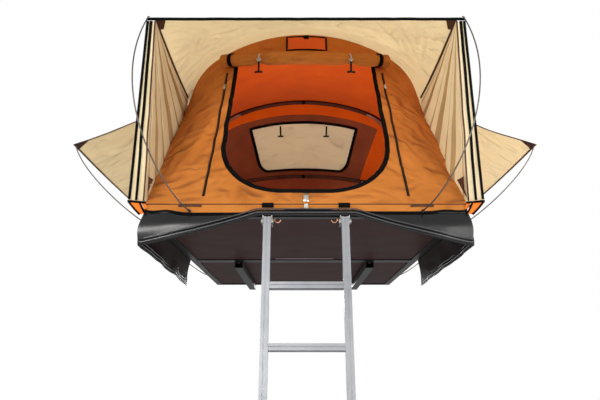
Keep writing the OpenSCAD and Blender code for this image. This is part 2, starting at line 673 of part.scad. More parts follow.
module fly_roof_front() {
    color("tan") cloth([fly_front, ruled(fly_front, fly_front_seam, 0.5), fly_front_seam]);
}
module fly_roof_rear() {
    color("tan") cloth([fly_rear_seam, ruled(fly_rear_seam, fly_rear, 0.5), fly_rear,
        ruled(fly_rear, fly_low, 0.5), fly_low]);
}
porch_sag = 16;
module fly_porch() {
    steps = [0, 0.25, 0.5, 0.75, 1];
    color("tan") cloth([for (s = steps)
        [for (k = [0:len(pole_row) - 1])
            mix(pole_row[k], fly_front[k] - [0, 0.5, 0], s) - [0, 0, porch_sag * 4 * s * (1 - s)]]]);
}
module porch_pole() {
    color("black") translate([-porch_w / 2, porch_y, porch_z]) rotate([0, 90, 0])
        cylinder(d = porch_pole_d, h = porch_w);
}

// A porch side: folds that fan out from the pole's end to the body's front corner
module porch_side(side) {
    tip = [porch_w / 2 - 2 - porch_band, porch_y + 2, porch_z - porch_pole_d / 2 - 1.5];
    outer_tip = tip + [porch_band, 0, 0];
    top = fly_front[fly_last] + [0.2, -1.4, -4.4];
    corner = [hem_x + cloth_t + 4, front_y - cloth_t - 4, hem_top_z + 4];
    front_low = [hem_x + 26 + porch_band, front_y - 44, hem_top_z + 2];
    fan = 2 * pleat_count;
    rays = [0.04, 0.2, 0.4, 0.6, 0.8, 1];
    body_share = 0.72;
    foot = function (q)
        let (s = q / fan)
        s < body_share ?
            mix(top, corner, s / body_share) :
            mix(corner, front_low, (s - body_share) / (1 - body_share));
    head = function (q) mix(tip, outer_tip, max(0, (q / fan - body_share) / (1 - body_share)));
    out = unit(cross(top - tip, corner - tip));
    ridge = function (q, r)
        q == 0 || q > fan * body_share ? 0 : (q % 2 == 0 ? -1 : 1) * pleat_depth * sin(180 * r ^ 1.3);
    droop = function (q, r) (porch_sag + 3) * 4 * r * (1 - r) * max(0, 1 - q / 3);
    grid = [for (r = rays)
        [for (q = [0:fan]) mix(head(q), foot(q), r) + ridge(q, r) * out - [0, 0, droop(q, r)]]];
    color("tan") if (side > 0) cloth(grid, 2); else mirror([1, 0, 0]) cloth(grid, 2);
}
module porch_side_left() { porch_side(-1); }
module porch_side_right() { porch_side(1); }

// Side awnings, from the fly's shoulder line out to the rod tips
module awning(side, root_a, root_b, y_a, y_b) {
    sag = 22;
    rows = [0, 0.25, 0.5, 0.75, 1];
    cols = [0, 0.25, 0.5, 0.75, 1];
    tip = function (c) [awning_reach, mix(y_a, y_b, c), awning_z];
    root = function (c) mix(root_a, root_b, c) + [0.4, 0, -0.6];
    grid = [for (r = rows) [for (c = cols)
        mix(root(c), tip(c), r) - [0, 0, sag * 4 * r * (1 - r)]]];
    color("tan") if (side > 0) cloth(grid); else mirror([1, 0, 0]) cloth(grid);
}
module awning_half(side, is_front) {
    if (is_front)
        awning(side, fly_front[fly_last], fly_front_seam[fly_last], awning_front_y, hinge_y - split_gap / 2);
    else
        awning(side, fly_rear_seam[fly_last], fly_low[fly_last], hinge_y + split_gap / 2, awning_rear_y);
}
module awning_left_front() { awning_half(-1, true); }
module awning_left_rear() { awning_half(-1, false); }
module awning_right_front() { awning_half(1, true); }
module awning_right_rear() { awning_half(1, false); }

// Spring rods and their sockets
socket_z = hem_low_z - 0.5 - socket_d / 2;
socket_out = socket_l + cloth_t;
side_socket_y = front_y + awning_inset - 100;
rear_socket_y = rear_y - awning_inset + 70;
function front_rod_path() =
    let (a = [front_rod_x, front_y - 3, socket_z],
         b = [front_rod_x, front_y - socket_out - 6, socket_z],
         d = [porch_w / 2 - 5, porch_y - porch_pole_d / 2 - rod_d / 2 - 0.5, porch_z])
    concat([a], [for (i = [0:12]) bezier([b, b + [60, -front_rod_bow * 0.4, 20],
        d + [130, -front_rod_bow * 0.5, -440], d], i / 12)]);
function side_rod_path(y, tip_y) =
    let (a = [half_w + 3, y, socket_z],
         b = [half_w + socket_out + 6, y, socket_z],
         d = [awning_reach - 10, tip_y, awning_z - rod_d / 2 - 1])
    concat([a], [for (i = [0:10]) bezier([b, b + [90, 0, 20], d + [-50, 0, -160], d], i / 10)]);

module front_rods() { color("dimgray") both_sides() rod(front_rod_path(), rod_d, 8, [1, 0, 0]); }
module side_rods_front() {
    color("dimgray") both_sides() rod(side_rod_path(side_socket_y, awning_front_y + 14), rod_d, 8, [0, 1, 0]);
}
module side_rods_rear() {
    color("dimgray") both_sides() rod(side_rod_path(rear_socket_y, awning_rear_y - 14), rod_d, 8, [0, 1, 0]);
}

module socket(p, turn) {
    translate(p) rotate(turn) difference() {
        cylinder(d = socket_d, h = socket_out);
        translate([0, 0, 2]) cylinder(d = rod_d + 1, h = socket_out);
    }
}
module front_sockets() {
    color("black") both_sides() socket([front_rod_x, front_y, socket_z], [90, 0, 0]);
}
module side_sockets_front() {
    color("black") both_sides() socket([half_w, side_socket_y, socket_z], [0, 90, 0]);
}
module side_sockets_rear() {
    color("black") both_sides() socket([half_w, rear_socket_y, socket_z], [0, 90, 0]);
}

// Webbing from the porch's front edge to the base's front corner
module corner_straps() {
    face_y = front_y - hem_gap - cloth_t - 0.6;
    grid = [
        [[hem_x - 34, face_y, hem_low_z + 2], [hem_x - 4, face_y, hem_low_z + 2]],
        [[hem_x + 6, face_y - 12, hem_top_z - 2], [hem_x + 22 + porch_band, face_y - 36, hem_top_z - 2]]];
    color("orangered") both_sides() cloth(grid, 2);
}

// Travel cover: a skirt that hangs round the front half, shallow over the ladder and deep at the corners
cover_back_y = hinge_y - 30;
ladder_clear = ladder_w / 2 + 30;
band_side_steps = 5;
band_front_steps = 18;
band_last = 2 * band_side_steps + band_front_steps;
function band_line(k, out) =
    k < band_side_steps ? [-half_w - out, mix(cover_back_y, front_y - out, k / band_side_steps)] :
    k <= band_side_steps + band_front_steps ?
        [mix(-half_w - out, half_w + out, (k - band_side_steps) / band_front_steps), front_y - out] :
        [half_w + out, mix(front_y - out, cover_back_y, (k - band_side_steps - band_front_steps) / band_side_steps)];
function skirt_z(q) = abs(q[0]) > half_w ?
    base_z - mix(cover_corner_drop, cover_fold_drop, (q[1] - front_y) / half_l) :
    mix(base_z + cover_mid_rise, base_z - cover_corner_drop,
        smooth(max(0, abs(q[0]) - ladder_clear) / (half_w - ladder_clear)));

module cover_band() {
    flare = [cover_out, cover_out, cover_out * 0.75, hem_gap];
    rows = [0, 0.35, 0.7, 1];
    grid = [for (r = [0:3]) [for (k = [0:band_last])
        let (q = band_line(k, flare[r]), low = skirt_z(band_line(k, cover_out)))
        [q[0], q[1], mix(low, cover_top_z, rows[r])]]];
    color("black") cloth(grid, cover_t);
}

module cover_zip() {
    color("black") rod([for (k = [0:band_last]) let (q = band_line(k, cover_out + cover_t / 2))
        [q[0], q[1], skirt_z(band_line(k, cover_out)) - zip_d / 2 - 0.6]], zip_d, 8);
}

// A stiffening strip under the front board, beside the fold
module underside_strip() {
    strip_l = 352;
    strip_w = 22;
    color("silver") box_between(
        [-strip_l / 2, hinge_y - frame_w - 60, base_z + board_recess - 3],
        [strip_l / 2, hinge_y - frame_w - 60 + strip_w, base_z + board_recess - 0.1]);
}

// Ladder, drawn hanging straight down from its pivot and then leant out
module ladder_place() {
    translate([0, ladder_y, ladder_z]) rotate([-ladder_lean, 0, 0]) children();
}

module stile_profile() {
    difference() {
        square([stile_w, stile_d], center = true);
        for (s = [-1, 1]) translate([0, s * stile_d / 2]) square([stile_w * 0.22, 2 * groove], center = true);
        square([stile_w - 2 * tube_wall, stile_d - 2 * groove - 2 * tube_wall], center = true);
    }
}

module stile_pair(y, z_low, z_high) {
    both_sides() translate([stile_x, y, z_low]) linear_extrude(z_high - z_low) stile_profile();
}

module rung_row(y, z_first) {
    length = 2 * (stile_x - stile_w / 2);
    for (i = [0:rung_count - 1]) translate([-length / 2, y, z_first - i * rung_pitch])
        rotate([90, 0, 90]) linear_extrude(length) difference() {
            square(rung_s, center = true);
            for (s = [-1, 1]) translate([s * rung_s / 2, 0]) square([2 * groove, rung_s * 0.2], center = true);
            square([rung_s - 2 * groove - 2 * tube_wall, rung_s - 2 * tube_wall], center = true);
        }
}

lower_y = stile_d + section_gap;
lower_top_z = -extension - 12;

module upper_stiles() {
    color("silver") ladder_place() difference() {
        stile_pair(0, -section_l, 16);
        translate([-ladder_w, 0, 0]) rotate([0, 90, 0])
            cylinder(d = ladder_pin_d + 2 * pin_clear, h = 2 * ladder_w);
    }
}
module upper_rungs() { color("silver") ladder_place() rung_row(0, -first_rung); }
module lower_stiles() {
    color("silver") ladder_place() stile_pair(lower_y, lower_top_z - section_l + foot_h, lower_top_z);
}
module lower_rungs() { color("silver") ladder_place() rung_row(lower_y, -first_rung - extension); }

module ladder_feet() {
    color("black") ladder_place() both_sides()
        translate([stile_x, lower_y, lower_top_z - section_l])
            difference() {
                translate([-stile_w / 2 - 3, -stile_d / 2 - 0, 0]) cube([stile_w + 6, stile_d + 6, foot_h]);
                for (i = [-1, 0, 1]) translate([-stile_w, i * stile_d / 3 - 1, -1]) cube([2 * stile_w, 2, 4]);
            }
}

// Guides at the upper section's lower end, that keep the lower stiles against the upper ones
module slide_guides() {
    guide_h = 60;
    wall_t = 4;
    lip = 10;
    x1 = stile_x + stile_w / 2;
    color("black") ladder_place() both_sides() translate([0, 0, -section_l]) {
        translate([x1, -stile_d / 2, 0]) cube([wall_t - section_gap, stile_d, guide_h]);
        translate([x1 + section_gap, stile_d / 2, 0]) cube([wall_t - section_gap, stile_d + section_gap, guide_h]);
        translate([x1 + wall_t - lip, stile_d * 1.5 + section_gap + eps * 2, 0]) cube([lip, wall_t, guide_h]);
    }
}

// Brackets that carry the ladder under the front edge
module ladder_brackets() {
    ear_r = 14;
    ear_gap = stile_w / 2 + side_gap;
    color("dimgray") both_sides() difference() {
        union() {
            for (s = [0, 1]) translate([stile_x + (s == 0 ? -ear_gap - bracket_t : ear_gap), ladder_y, ladder_z]) {
                rotate([0, 90, 0]) cylinder(r = ear_r, h = bracket_t);
                translate([0, 0, -ear_r * 0.7]) cube([bracket_t, ladder_out + 40, ladder_drop + ear_r * 0.7]);
            }
            box_between(
                [stile_x - ear_gap - bracket_t, front_y + 16, base_z - bracket_t],
                [stile_x + ear_gap + bracket_t, front_y + frame_w + 34, base_z]);
        }
        translate([stile_x - 60, ladder_y, ladder_z]) rotate([0, 90, 0])
            cylinder(d = ladder_pin_d + 2 * pin_clear, h = 120);
    }
}

module ladder_pins() {
    ear_gap = stile_w / 2 + side_gap + bracket_t;
    color("gray") both_sides() headed_pin(stile_x - ear_gap - eps, stile_x + ear_gap + eps,
        ladder_y, ladder_z, ladder_pin_d, [true, true]);
}

// Hooks under the front edge, inside the brackets, for the ladder's strap
module ladder_hooks() {
    hook_r = 13;
    hook_d = 5;
    stem = 8;
    x0 = stile_x - stile_w / 2 - side_gap - bracket_t - pin_head_t - 4;
    color("peru") both_sides() translate([x0 - hook_r, front_y + 12, base_z - eps - stem]) {
        rotate([90, 0, 0]) rotate_extrude(angle = -170) translate([hook_r, 0]) circle(d = hook_d);
        translate([hook_r, 0, -0.5]) cylinder(d = hook_d + 1, h = stem + 0.5);
    }
}

rear_board();
front_board();
rear_edge_frame();
front_edge_frame();
mount_rails();
rail_screws();
rear_hinge_plates();
front_hinge_plates();
hinge_pins();
rear_bow_pins();
front_bow_pins();
rear_bow();
low_rear_bow();
front_bow();
rear_mattress();
front_mattress();
rear_canvas();
front_canvas();
rear_window();
door_roll();
door_straps();
door_zip_left();
door_zip_right();
zip_slider_left();
zip_slider_right();
door_binding();
vent_panel();
sill_tabs();
fly_roof_rear();
fly_roof_front();
fly_porch();
porch_side_left();
porch_side_right();
porch_pole();
awning_left_front();
awning_left_rear();
awning_right_front();
awning_right_rear();
front_rods();
side_rods_front();
side_rods_rear();
front_sockets();
side_sockets_front();
side_sockets_rear();
corner_straps();
cover_band();
underside_strip();
cover_zip();
ladder_brackets();
ladder_hooks();
ladder_pins();
upper_stiles();
upper_rungs();
slide_guides();
lower_stiles();
lower_rungs();
ladder_feet();
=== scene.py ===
# %% [markdown]
# # A fold-out roof top tent
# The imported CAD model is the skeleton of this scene: boards, tubes, hinges and ladder come from it and
# keep their place. The soft parts are rebuilt here as real cloth. We load the frame first and note its
# box, to see at the end whether what we sew on has made the tent bigger than its CAD model.

# %% Load the frame
import json
import math
from bisect import bisect_right

import bmesh
import bpy
from mathutils import Vector, noise
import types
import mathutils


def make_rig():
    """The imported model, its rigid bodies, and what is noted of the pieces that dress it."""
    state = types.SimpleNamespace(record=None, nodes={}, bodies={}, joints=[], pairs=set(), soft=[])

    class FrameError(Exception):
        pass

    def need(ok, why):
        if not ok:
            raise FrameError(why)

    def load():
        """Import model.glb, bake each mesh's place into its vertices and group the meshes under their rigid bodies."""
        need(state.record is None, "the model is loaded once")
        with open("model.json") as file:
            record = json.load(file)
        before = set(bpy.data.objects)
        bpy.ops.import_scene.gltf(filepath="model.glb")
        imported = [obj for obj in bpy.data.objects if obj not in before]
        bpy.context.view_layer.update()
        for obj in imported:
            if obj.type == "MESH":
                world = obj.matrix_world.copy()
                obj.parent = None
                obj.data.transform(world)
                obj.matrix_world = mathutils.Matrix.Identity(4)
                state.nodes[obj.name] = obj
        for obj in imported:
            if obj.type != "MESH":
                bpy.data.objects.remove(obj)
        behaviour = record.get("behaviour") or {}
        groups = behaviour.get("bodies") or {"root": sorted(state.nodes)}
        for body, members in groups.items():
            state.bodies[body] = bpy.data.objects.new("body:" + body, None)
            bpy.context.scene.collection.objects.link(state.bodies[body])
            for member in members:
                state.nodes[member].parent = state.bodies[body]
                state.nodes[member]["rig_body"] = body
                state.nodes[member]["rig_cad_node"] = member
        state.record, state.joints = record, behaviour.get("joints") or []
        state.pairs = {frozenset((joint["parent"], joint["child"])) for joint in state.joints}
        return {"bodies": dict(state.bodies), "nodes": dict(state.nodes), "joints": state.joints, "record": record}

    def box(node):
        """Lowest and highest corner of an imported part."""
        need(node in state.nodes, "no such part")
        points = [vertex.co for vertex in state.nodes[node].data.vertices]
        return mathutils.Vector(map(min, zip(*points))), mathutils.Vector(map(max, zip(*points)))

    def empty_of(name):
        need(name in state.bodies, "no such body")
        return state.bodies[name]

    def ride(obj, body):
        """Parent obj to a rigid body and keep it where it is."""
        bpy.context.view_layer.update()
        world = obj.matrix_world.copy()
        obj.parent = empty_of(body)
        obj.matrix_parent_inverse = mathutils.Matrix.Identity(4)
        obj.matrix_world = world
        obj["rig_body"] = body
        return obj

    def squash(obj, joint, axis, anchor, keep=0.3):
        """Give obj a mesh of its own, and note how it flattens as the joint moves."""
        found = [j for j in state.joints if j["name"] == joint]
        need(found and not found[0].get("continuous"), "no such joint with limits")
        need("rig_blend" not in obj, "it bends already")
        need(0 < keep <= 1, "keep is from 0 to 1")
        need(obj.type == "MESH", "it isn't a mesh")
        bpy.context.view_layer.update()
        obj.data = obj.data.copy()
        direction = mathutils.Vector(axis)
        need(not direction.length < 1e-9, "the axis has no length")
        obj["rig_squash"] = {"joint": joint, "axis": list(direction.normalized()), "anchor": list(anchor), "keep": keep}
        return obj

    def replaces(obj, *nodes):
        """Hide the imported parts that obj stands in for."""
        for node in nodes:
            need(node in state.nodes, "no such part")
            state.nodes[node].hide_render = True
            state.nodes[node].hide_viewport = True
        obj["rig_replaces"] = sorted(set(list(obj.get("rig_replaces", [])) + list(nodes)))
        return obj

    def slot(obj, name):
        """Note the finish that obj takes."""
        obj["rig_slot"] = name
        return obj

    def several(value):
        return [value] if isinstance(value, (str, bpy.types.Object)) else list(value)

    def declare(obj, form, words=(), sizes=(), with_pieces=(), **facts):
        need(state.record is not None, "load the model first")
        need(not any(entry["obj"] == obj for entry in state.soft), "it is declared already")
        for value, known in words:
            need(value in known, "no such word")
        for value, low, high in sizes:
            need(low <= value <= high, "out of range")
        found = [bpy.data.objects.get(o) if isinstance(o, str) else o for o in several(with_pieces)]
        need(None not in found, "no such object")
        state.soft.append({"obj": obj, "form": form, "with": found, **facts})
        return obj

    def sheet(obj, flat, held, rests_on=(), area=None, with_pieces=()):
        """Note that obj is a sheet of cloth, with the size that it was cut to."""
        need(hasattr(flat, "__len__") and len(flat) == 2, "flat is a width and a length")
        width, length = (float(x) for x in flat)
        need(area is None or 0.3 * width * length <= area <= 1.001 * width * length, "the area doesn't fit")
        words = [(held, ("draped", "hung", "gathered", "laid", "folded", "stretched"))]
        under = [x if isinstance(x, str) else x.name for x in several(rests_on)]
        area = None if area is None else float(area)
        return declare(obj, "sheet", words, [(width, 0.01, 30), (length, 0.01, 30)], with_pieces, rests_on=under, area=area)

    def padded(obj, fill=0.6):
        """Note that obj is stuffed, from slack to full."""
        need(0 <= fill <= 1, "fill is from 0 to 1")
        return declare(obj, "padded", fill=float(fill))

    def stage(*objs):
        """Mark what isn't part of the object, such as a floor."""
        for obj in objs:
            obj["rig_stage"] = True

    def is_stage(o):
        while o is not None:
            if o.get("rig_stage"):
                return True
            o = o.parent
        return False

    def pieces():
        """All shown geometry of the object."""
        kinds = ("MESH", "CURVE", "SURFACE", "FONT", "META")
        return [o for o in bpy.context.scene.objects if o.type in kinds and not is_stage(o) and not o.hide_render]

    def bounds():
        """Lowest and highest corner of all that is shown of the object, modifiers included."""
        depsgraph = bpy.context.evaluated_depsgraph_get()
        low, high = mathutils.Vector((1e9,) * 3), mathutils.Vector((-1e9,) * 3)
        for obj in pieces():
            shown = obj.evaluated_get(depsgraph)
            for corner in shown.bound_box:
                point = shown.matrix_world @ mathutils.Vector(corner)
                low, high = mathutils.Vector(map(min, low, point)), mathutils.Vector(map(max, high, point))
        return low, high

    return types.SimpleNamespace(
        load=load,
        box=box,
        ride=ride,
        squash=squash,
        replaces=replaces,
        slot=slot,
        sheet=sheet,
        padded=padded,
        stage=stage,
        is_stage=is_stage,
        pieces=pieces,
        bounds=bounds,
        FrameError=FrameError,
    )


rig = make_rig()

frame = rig.load()
cad_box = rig.bounds()
scene = bpy.context.scene
print("CAD box", cad_box)

# %% [markdown]
# ## The camera
# The photograph looks up at the tent from below its base, a little left of the middle. A fit to the
# base's corners, the arch and the ladder gives a 38 mm lens, tilted up by 14 degrees. The camera comes
# first, so that every later piece can be looked at in the right place.

# %% Camera
lens_data = bpy.data.cameras.new("photo_camera")
lens_data.lens = 38.23
lens_data.sensor_width = 36.0
lens_data.sensor_fit = "HORIZONTAL"
camera = bpy.data.objects.new("photo_camera", lens_data)
camera.location = (-0.0263, -4.5845, -0.5653)
camera.rotation_euler = (math.radians(90 + 14.21), 0, 0)
scene.collection.objects.link(camera)
scene.camera = camera
print("camera at", tuple(camera.location))

# %% [markdown]
# ## Nodes
# The background and every finish are small networks of nodes. One helper makes a node and fills its
# inputs, with a value or with another node's output, so that a recipe below reads as a list of what it is
# made of. The other helpers are the few nodes that come back in most recipes.

# %% Node helpers
def wire(tree, made, inputs):
    """Gives each input of a node its value, or joins it to another node's output."""
    for name, value in inputs.items():
        if isinstance(value, bpy.types.NodeSocket):
            tree.links.new(value, made.inputs[name])
        else:
            made.inputs[name].default_value = value


def node(tree, kind, inputs=None, **settings):
    made = tree.nodes.new("ShaderNode" + kind)
    for name, value in settings.items():
        setattr(made, name, value)
    wire(tree, made, inputs or {})
    return made


def start_material(name):
    made = bpy.data.materials.new(name)
    made.use_nodes = True
    return made, made.node_tree, made.node_tree.nodes["Principled BSDF"]


def linear(rgb):
    """An sRGB colour of 0-255 as the linear colour that a shader takes."""
    levels = [c / 255 for c in rgb]
    return (*[c / 12.92 if c <= 0.04045 else ((c + 0.055) / 1.055) ** 2.4 for c in levels], 1)


def mixed_colour(tree, a, b, factor):
    return node(tree, "Mix", {"A": a, "B": b, "Factor": factor}, data_type="RGBA").outputs["Result"]


def calculated(tree, operation, *values):
    return node(tree, "Math", dict(enumerate(values)), operation=operation).outputs[0]


def ramp(tree, source, low, high):
    return node(tree, "MapRange", {"Value": source, "From Min": low, "From Max": high}).outputs["Result"]


def cloud(tree, coords, scale, detail):
    return node(tree, "TexNoise", {"Vector": coords, "Scale": scale, "Detail": detail}).outputs["Fac"]


def rib(tree, coords, per_metre, direction):
    wave = {"Vector": coords, "Scale": per_metre / 3.183, "Distortion": 0.15}
    return node(tree, "TexWave", wave, bands_direction=direction).outputs["Fac"]


def bumped(tree, shader, height, strength, distance, under=None):
    """Bumps on a shader, over a broader shape where there is one. Gives the surface's new normal."""
    bump = node(tree, "Bump", {"Strength": strength, "Distance": distance, "Height": height})
    if under is not None:
        tree.links.new(under, bump.inputs["Normal"])
    tree.links.new(bump.outputs["Normal"], shader.inputs["Normal"])
    return bump.outputs["Normal"]


print("node helpers ready")

# %% [markdown]
# ## The floor and the background
# The ladder's feet stand on a floor that is near white, so that it joins the white background but still
# shows the ladder's shadow. To the camera the floor also glows a little, and it throws less light up than
# it shows, so the underside of the tent stays dark. In the same way the background is white to the camera
# and to shiny metal, while the light that it sends to the tent is set apart from that. A colour then
# renders about as it is written.

# %% Floor and background
floor_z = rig.box("ladder_feet")[0][2] - 0.002
floor_radius, floor_sides = 14, 64
turns = [math.tau * i / floor_sides for i in range(floor_sides)]
floor_mesh = bpy.data.meshes.new("studio_floor")
rim = [(floor_radius * math.cos(t), floor_radius * math.sin(t), floor_z) for t in turns]
floor_mesh.from_pydata(rim, [], [list(range(floor_sides))])
floor = bpy.data.objects.new("studio_floor", floor_mesh)
scene.collection.objects.link(floor)
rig.stage(floor)

ground, tree, shader = start_material("studio_ground")
speck = cloud(tree, node(tree, "TexCoord").outputs["Object"], 3.0, 4.0)
pale = mixed_colour(tree, (0.86, 0.86, 0.86, 1), (0.9, 0.9, 0.9, 1), speck)
to_camera = node(tree, "LightPath").outputs["Is Camera Ray"]
wire(tree, shader, {"Base Color": mixed_colour(tree, (0.4, 0.4, 0.4, 1), pale, to_camera), "Roughness": 0.9,
                    "Emission Color": (1, 1, 1, 1),
                    "Emission Strength": calculated(tree, "MULTIPLY", to_camera, 0.4)})
floor.data.materials.append(ground)

scene.view_settings.view_transform = "Standard"
world = bpy.data.worlds.new("studio")
scene.world = world
world.use_nodes = True
sky = world.node_tree
sky.nodes.clear()
rays = node(sky, "LightPath").outputs
seen = calculated(sky, "MAXIMUM", rays["Is Camera Ray"], rays["Is Glossy Ray"])
seen = calculated(sky, "MAXIMUM", seen, rays["Is Transmission Ray"])
lit = node(sky, "Background", {"Color": (0.92, 0.96, 1.0, 1), "Strength": 0.45})
white = node(sky, "Background", {"Color": (1, 1, 1, 1), "Strength": 1.0})
choice = node(sky, "MixShader", {"Fac": seen, 1: lit.outputs[0], 2: white.outputs[0]})
node(sky, "OutputWorld", {"Surface": choice.outputs[0]})
print("floor at", round(floor_z, 3))

# %% [markdown]
# ## The lamps
# Seven soft lamps do the lighting. The key lamp stands at the left in front, the fill lamp at the right
# and a weak one low down. One at the right side and one above shine through the cloth, which is what
# makes a tent glow, and one lights the back. A small lamp inside stands in for the daylight that comes in
# by the windows.

# %% Lamps
warm, amber = (1, 0.98, 0.95), (1, 0.88, 0.72)


def soft_lamp(name, place, target, width, height, watts, colour=(1, 1, 1)):
    data = bpy.data.lights.new(name, "AREA")
    data.shape = "RECTANGLE"
    data.size, data.size_y = width, height
    data.energy = watts
    data.color = colour
    lamp = bpy.data.objects.new(name, data)
    lamp.location = place
    lamp.rotation_euler = (Vector(target) - Vector(place)).to_track_quat("-Z", "Y").to_euler()
    scene.collection.objects.link(lamp)
    return lamp


soft_lamp("key_lamp", (-2.0, -5.6, 1.2), (0.3, -1.4, 0.4), 1.3, 1.3, 125, warm)
soft_lamp("fill_lamp", (2.8, -5.4, 0.4), (0, -1.4, 0.4), 2.2, 2.0, 122, warm)
soft_lamp("low_lamp", (0.3, -4.4, -1.9), (0, -1.7, 0.7), 2.4, 1.4, 42)
soft_lamp("side_lamp", (4.2, -1.5, 1.1), (0, -1.1, 0.5), 2.0, 2.0, 130)
soft_lamp("top_lamp", (-0.3, -0.4, 5.0), (0, -0.8, 0.5), 4.0, 4.0, 265)
soft_lamp("back_lamp", (-0.6, 4.4, 1.2), (0, 0, 0.5), 2.0, 2.0, 175)
inside_lamp = soft_lamp("inside_lamp", (-0.2, -1.0, 0.38), (0.5, -0.45, 0.98), 0.45, 0.45, 9, amber)
inside_lamp.visible_camera = False
print("lamps", [o.name for o in scene.objects if o.type == "LIGHT"])

# %% [markdown]
# ## Cloth finishes
# Tent cloth is woven, so its surface is two sets of fine ribs that cross, with a little unevenness in the
# dye. One helper makes all the cloths from that idea. Ribs come from wave textures on the cloth's own
# flat coordinates, so that the weave follows the cloth round a curve. Broad ridged noise gives the
# wrinkles of cloth that was folded away. A share of translucency lets daylight glow through, which is
# what makes the inside of a canvas tent orange.

# %% Cloth
def woven(name, light, dark, ribs, rough=0.85, through=0.0, glow=None, sheen=0.12, strength=0.35, gloss=0.3,
          folds=0.0):
    made, tree, cloth = start_material(name)
    coords = node(tree, "TexCoord").outputs
    warp, weft = (rib(tree, coords["UV"], ribs, direction) for direction in "XY")
    both = calculated(tree, "MULTIPLY", warp, weft)
    dye = ramp(tree, cloud(tree, coords["Object"], 5.5, 5.0), 0.3, 0.75)
    thread = calculated(tree, "MULTIPLY_ADD", both, 0.35, dye)
    wire(tree, cloth, {"Base Color": mixed_colour(tree, linear(dark), linear(light), thread),
                       "Roughness": rough, "Sheen Weight": sheen, "Specular IOR Level": gloss})
    broad = None
    if folds:
        slant = node(tree, "Mapping", {"Vector": coords["Object"], "Rotation": (0.5, 0.7, 0.4),
                                       "Scale": (1.0, 2.4, 1.0)})
        wrinkle = node(tree, "TexNoise", {"Vector": slant.outputs[0], "Scale": 7.0, "Detail": 4.0,
                                          "Distortion": 0.6}, noise_type="RIDGED_MULTIFRACTAL")
        broad = node(tree, "Bump", {"Strength": 0.8, "Distance": folds,
                                    "Height": wrinkle.outputs["Fac"]}).outputs["Normal"]
    crease = cloud(tree, coords["Object"], 22.0, 2.0)
    height = calculated(tree, "MULTIPLY_ADD", crease, 2.2, both)
    normal = bumped(tree, cloth, height, strength, 0.0012, broad)
    if through:
        back = node(tree, "BsdfTranslucent", {"Color": linear(glow or light), "Normal": normal})
        blend = node(tree, "MixShader", {"Fac": through, 1: cloth.outputs[0], 2: back.outputs[0]})
        wire(tree, tree.nodes["Material Output"], {"Surface": blend.outputs[0]})
    return made


def fly_weave(name, light, dark, through, glow, rough=0.6, gloss=0.4, folds=0.012):
    return woven(name, light, dark, 1500, rough, through, glow, 0.05, 0.25, gloss, folds)


canvas_cloth = woven("canvas_cloth", (204, 129, 59), (187, 113, 46), 900, through=0.2, glow=(240, 130, 36),
                     sheen=0.02, gloss=0.12, folds=0.08)
lining_cloth = woven("lining_cloth", (242, 120, 8), (226, 102, 4), 900, through=0.45, glow=(255, 132, 10),
                     folds=0.012)
# Painted shade: a darker copy of the lining, for the part of the rear wall that lies in shade.
shade_cloth = woven("shade_cloth", (142, 76, 46), (118, 60, 36), 900, through=0.12, glow=(200, 84, 30),
                    folds=0.015)
mesh_cloth = woven("mesh_cloth", (236, 232, 224), (222, 217, 208), 620, 0.8, 0.6, (250, 248, 244),
                   strength=0.5, folds=0.05)
vent_orange = woven("vent_orange", (252, 112, 14), (234, 92, 8), 1100, 0.7, 0.2, (255, 120, 20),
                    strength=0.3)
web_black = woven("web_black", (9, 9, 10), (5, 5, 6), 420, 0.75, sheen=0.0, strength=0.6, gloss=0.06)
web_orange = woven("web_orange", (247, 126, 26), (226, 104, 14), 420, 0.7, strength=0.6)
piping_brown = woven("piping_brown", (84, 50, 32), (60, 34, 22), 700, 0.75, sheen=0.0, strength=0.4)
bed_cloth = woven("bed_cloth", (112, 84, 62), (88, 64, 47), 640, 0.9, strength=0.5)
sleeve_cloth = woven("sleeve_cloth", (84, 46, 34), (58, 30, 24), 640, 0.85, sheen=0.0, strength=0.5)
cord_pale = woven("cord_pale", (206, 204, 198), (172, 170, 164), 800, 0.6, strength=0.5)
fly_cloth = fly_weave("fly_cloth", (236, 223, 192), (223, 207, 171), 0.53, (240, 229, 202), folds=0.045)
gather_glow = (246, 236, 210)
# Painted light: the right side's gathered cloth is paler and lets more light through, as if lit. The left's is darker,
# as if in shade.
gather_painted_light = {
    "left": fly_weave("gather_cloth_left", (224, 206, 166), (208, 188, 146), 0.1, gather_glow),
    "right": fly_weave("gather_cloth_right", (238, 224, 190), (223, 206, 168), 0.34, gather_glow),
}
dull = {"rough": 0.7, "gloss": 0.3, "folds": 0}
# The tucks' darker cloth is partly real, because the cloth lies double, and partly painted shade of the folds. The left
# copy is darker than the right, which is painted shade.
tuck_doubled_painted_shade = {
    "left": fly_weave("tuck_cloth_left", (172, 136, 90), (154, 120, 76), 0.05, (220, 190, 140), **dull),
    "right": fly_weave("tuck_cloth_right", (188, 154, 104), (170, 138, 90), 0.15, (230, 205, 160), **dull),
}
print("materials", len(bpy.data.materials))

# %% [markdown]
# ## Coated cloth, metal, board and rubber
# The travel cover is coated cloth: near black, glossy, with a fine pebble grain. The ladder and bows are
# drawn aluminium, whose grain runs along the metal, with edges that catch the light because they are
# rounded. The underside of the base is a board with a dark brown film. A zip's teeth are ribs across a
# dark tape. Each of these gets its own small recipe of noise, roughness and bump.

# %% Hard finishes
def coated(name, light, dark, rough, grain, gloss=0.35):
    made, tree, skin = start_material(name)
    place = node(tree, "TexCoord").outputs["Object"]
    large = cloud(tree, place, 7.0, 4.0)
    wire(tree, skin, {"Base Color": mixed_colour(tree, linear(dark), linear(light), large),
                      "Roughness": calculated(tree, "MULTIPLY_ADD", large, 0.18, rough - 0.09),
                      "Specular IOR Level": gloss})
    bumped(tree, skin, cloud(tree, place, grain, 2.0), 0.25, 0.0008)
    return made


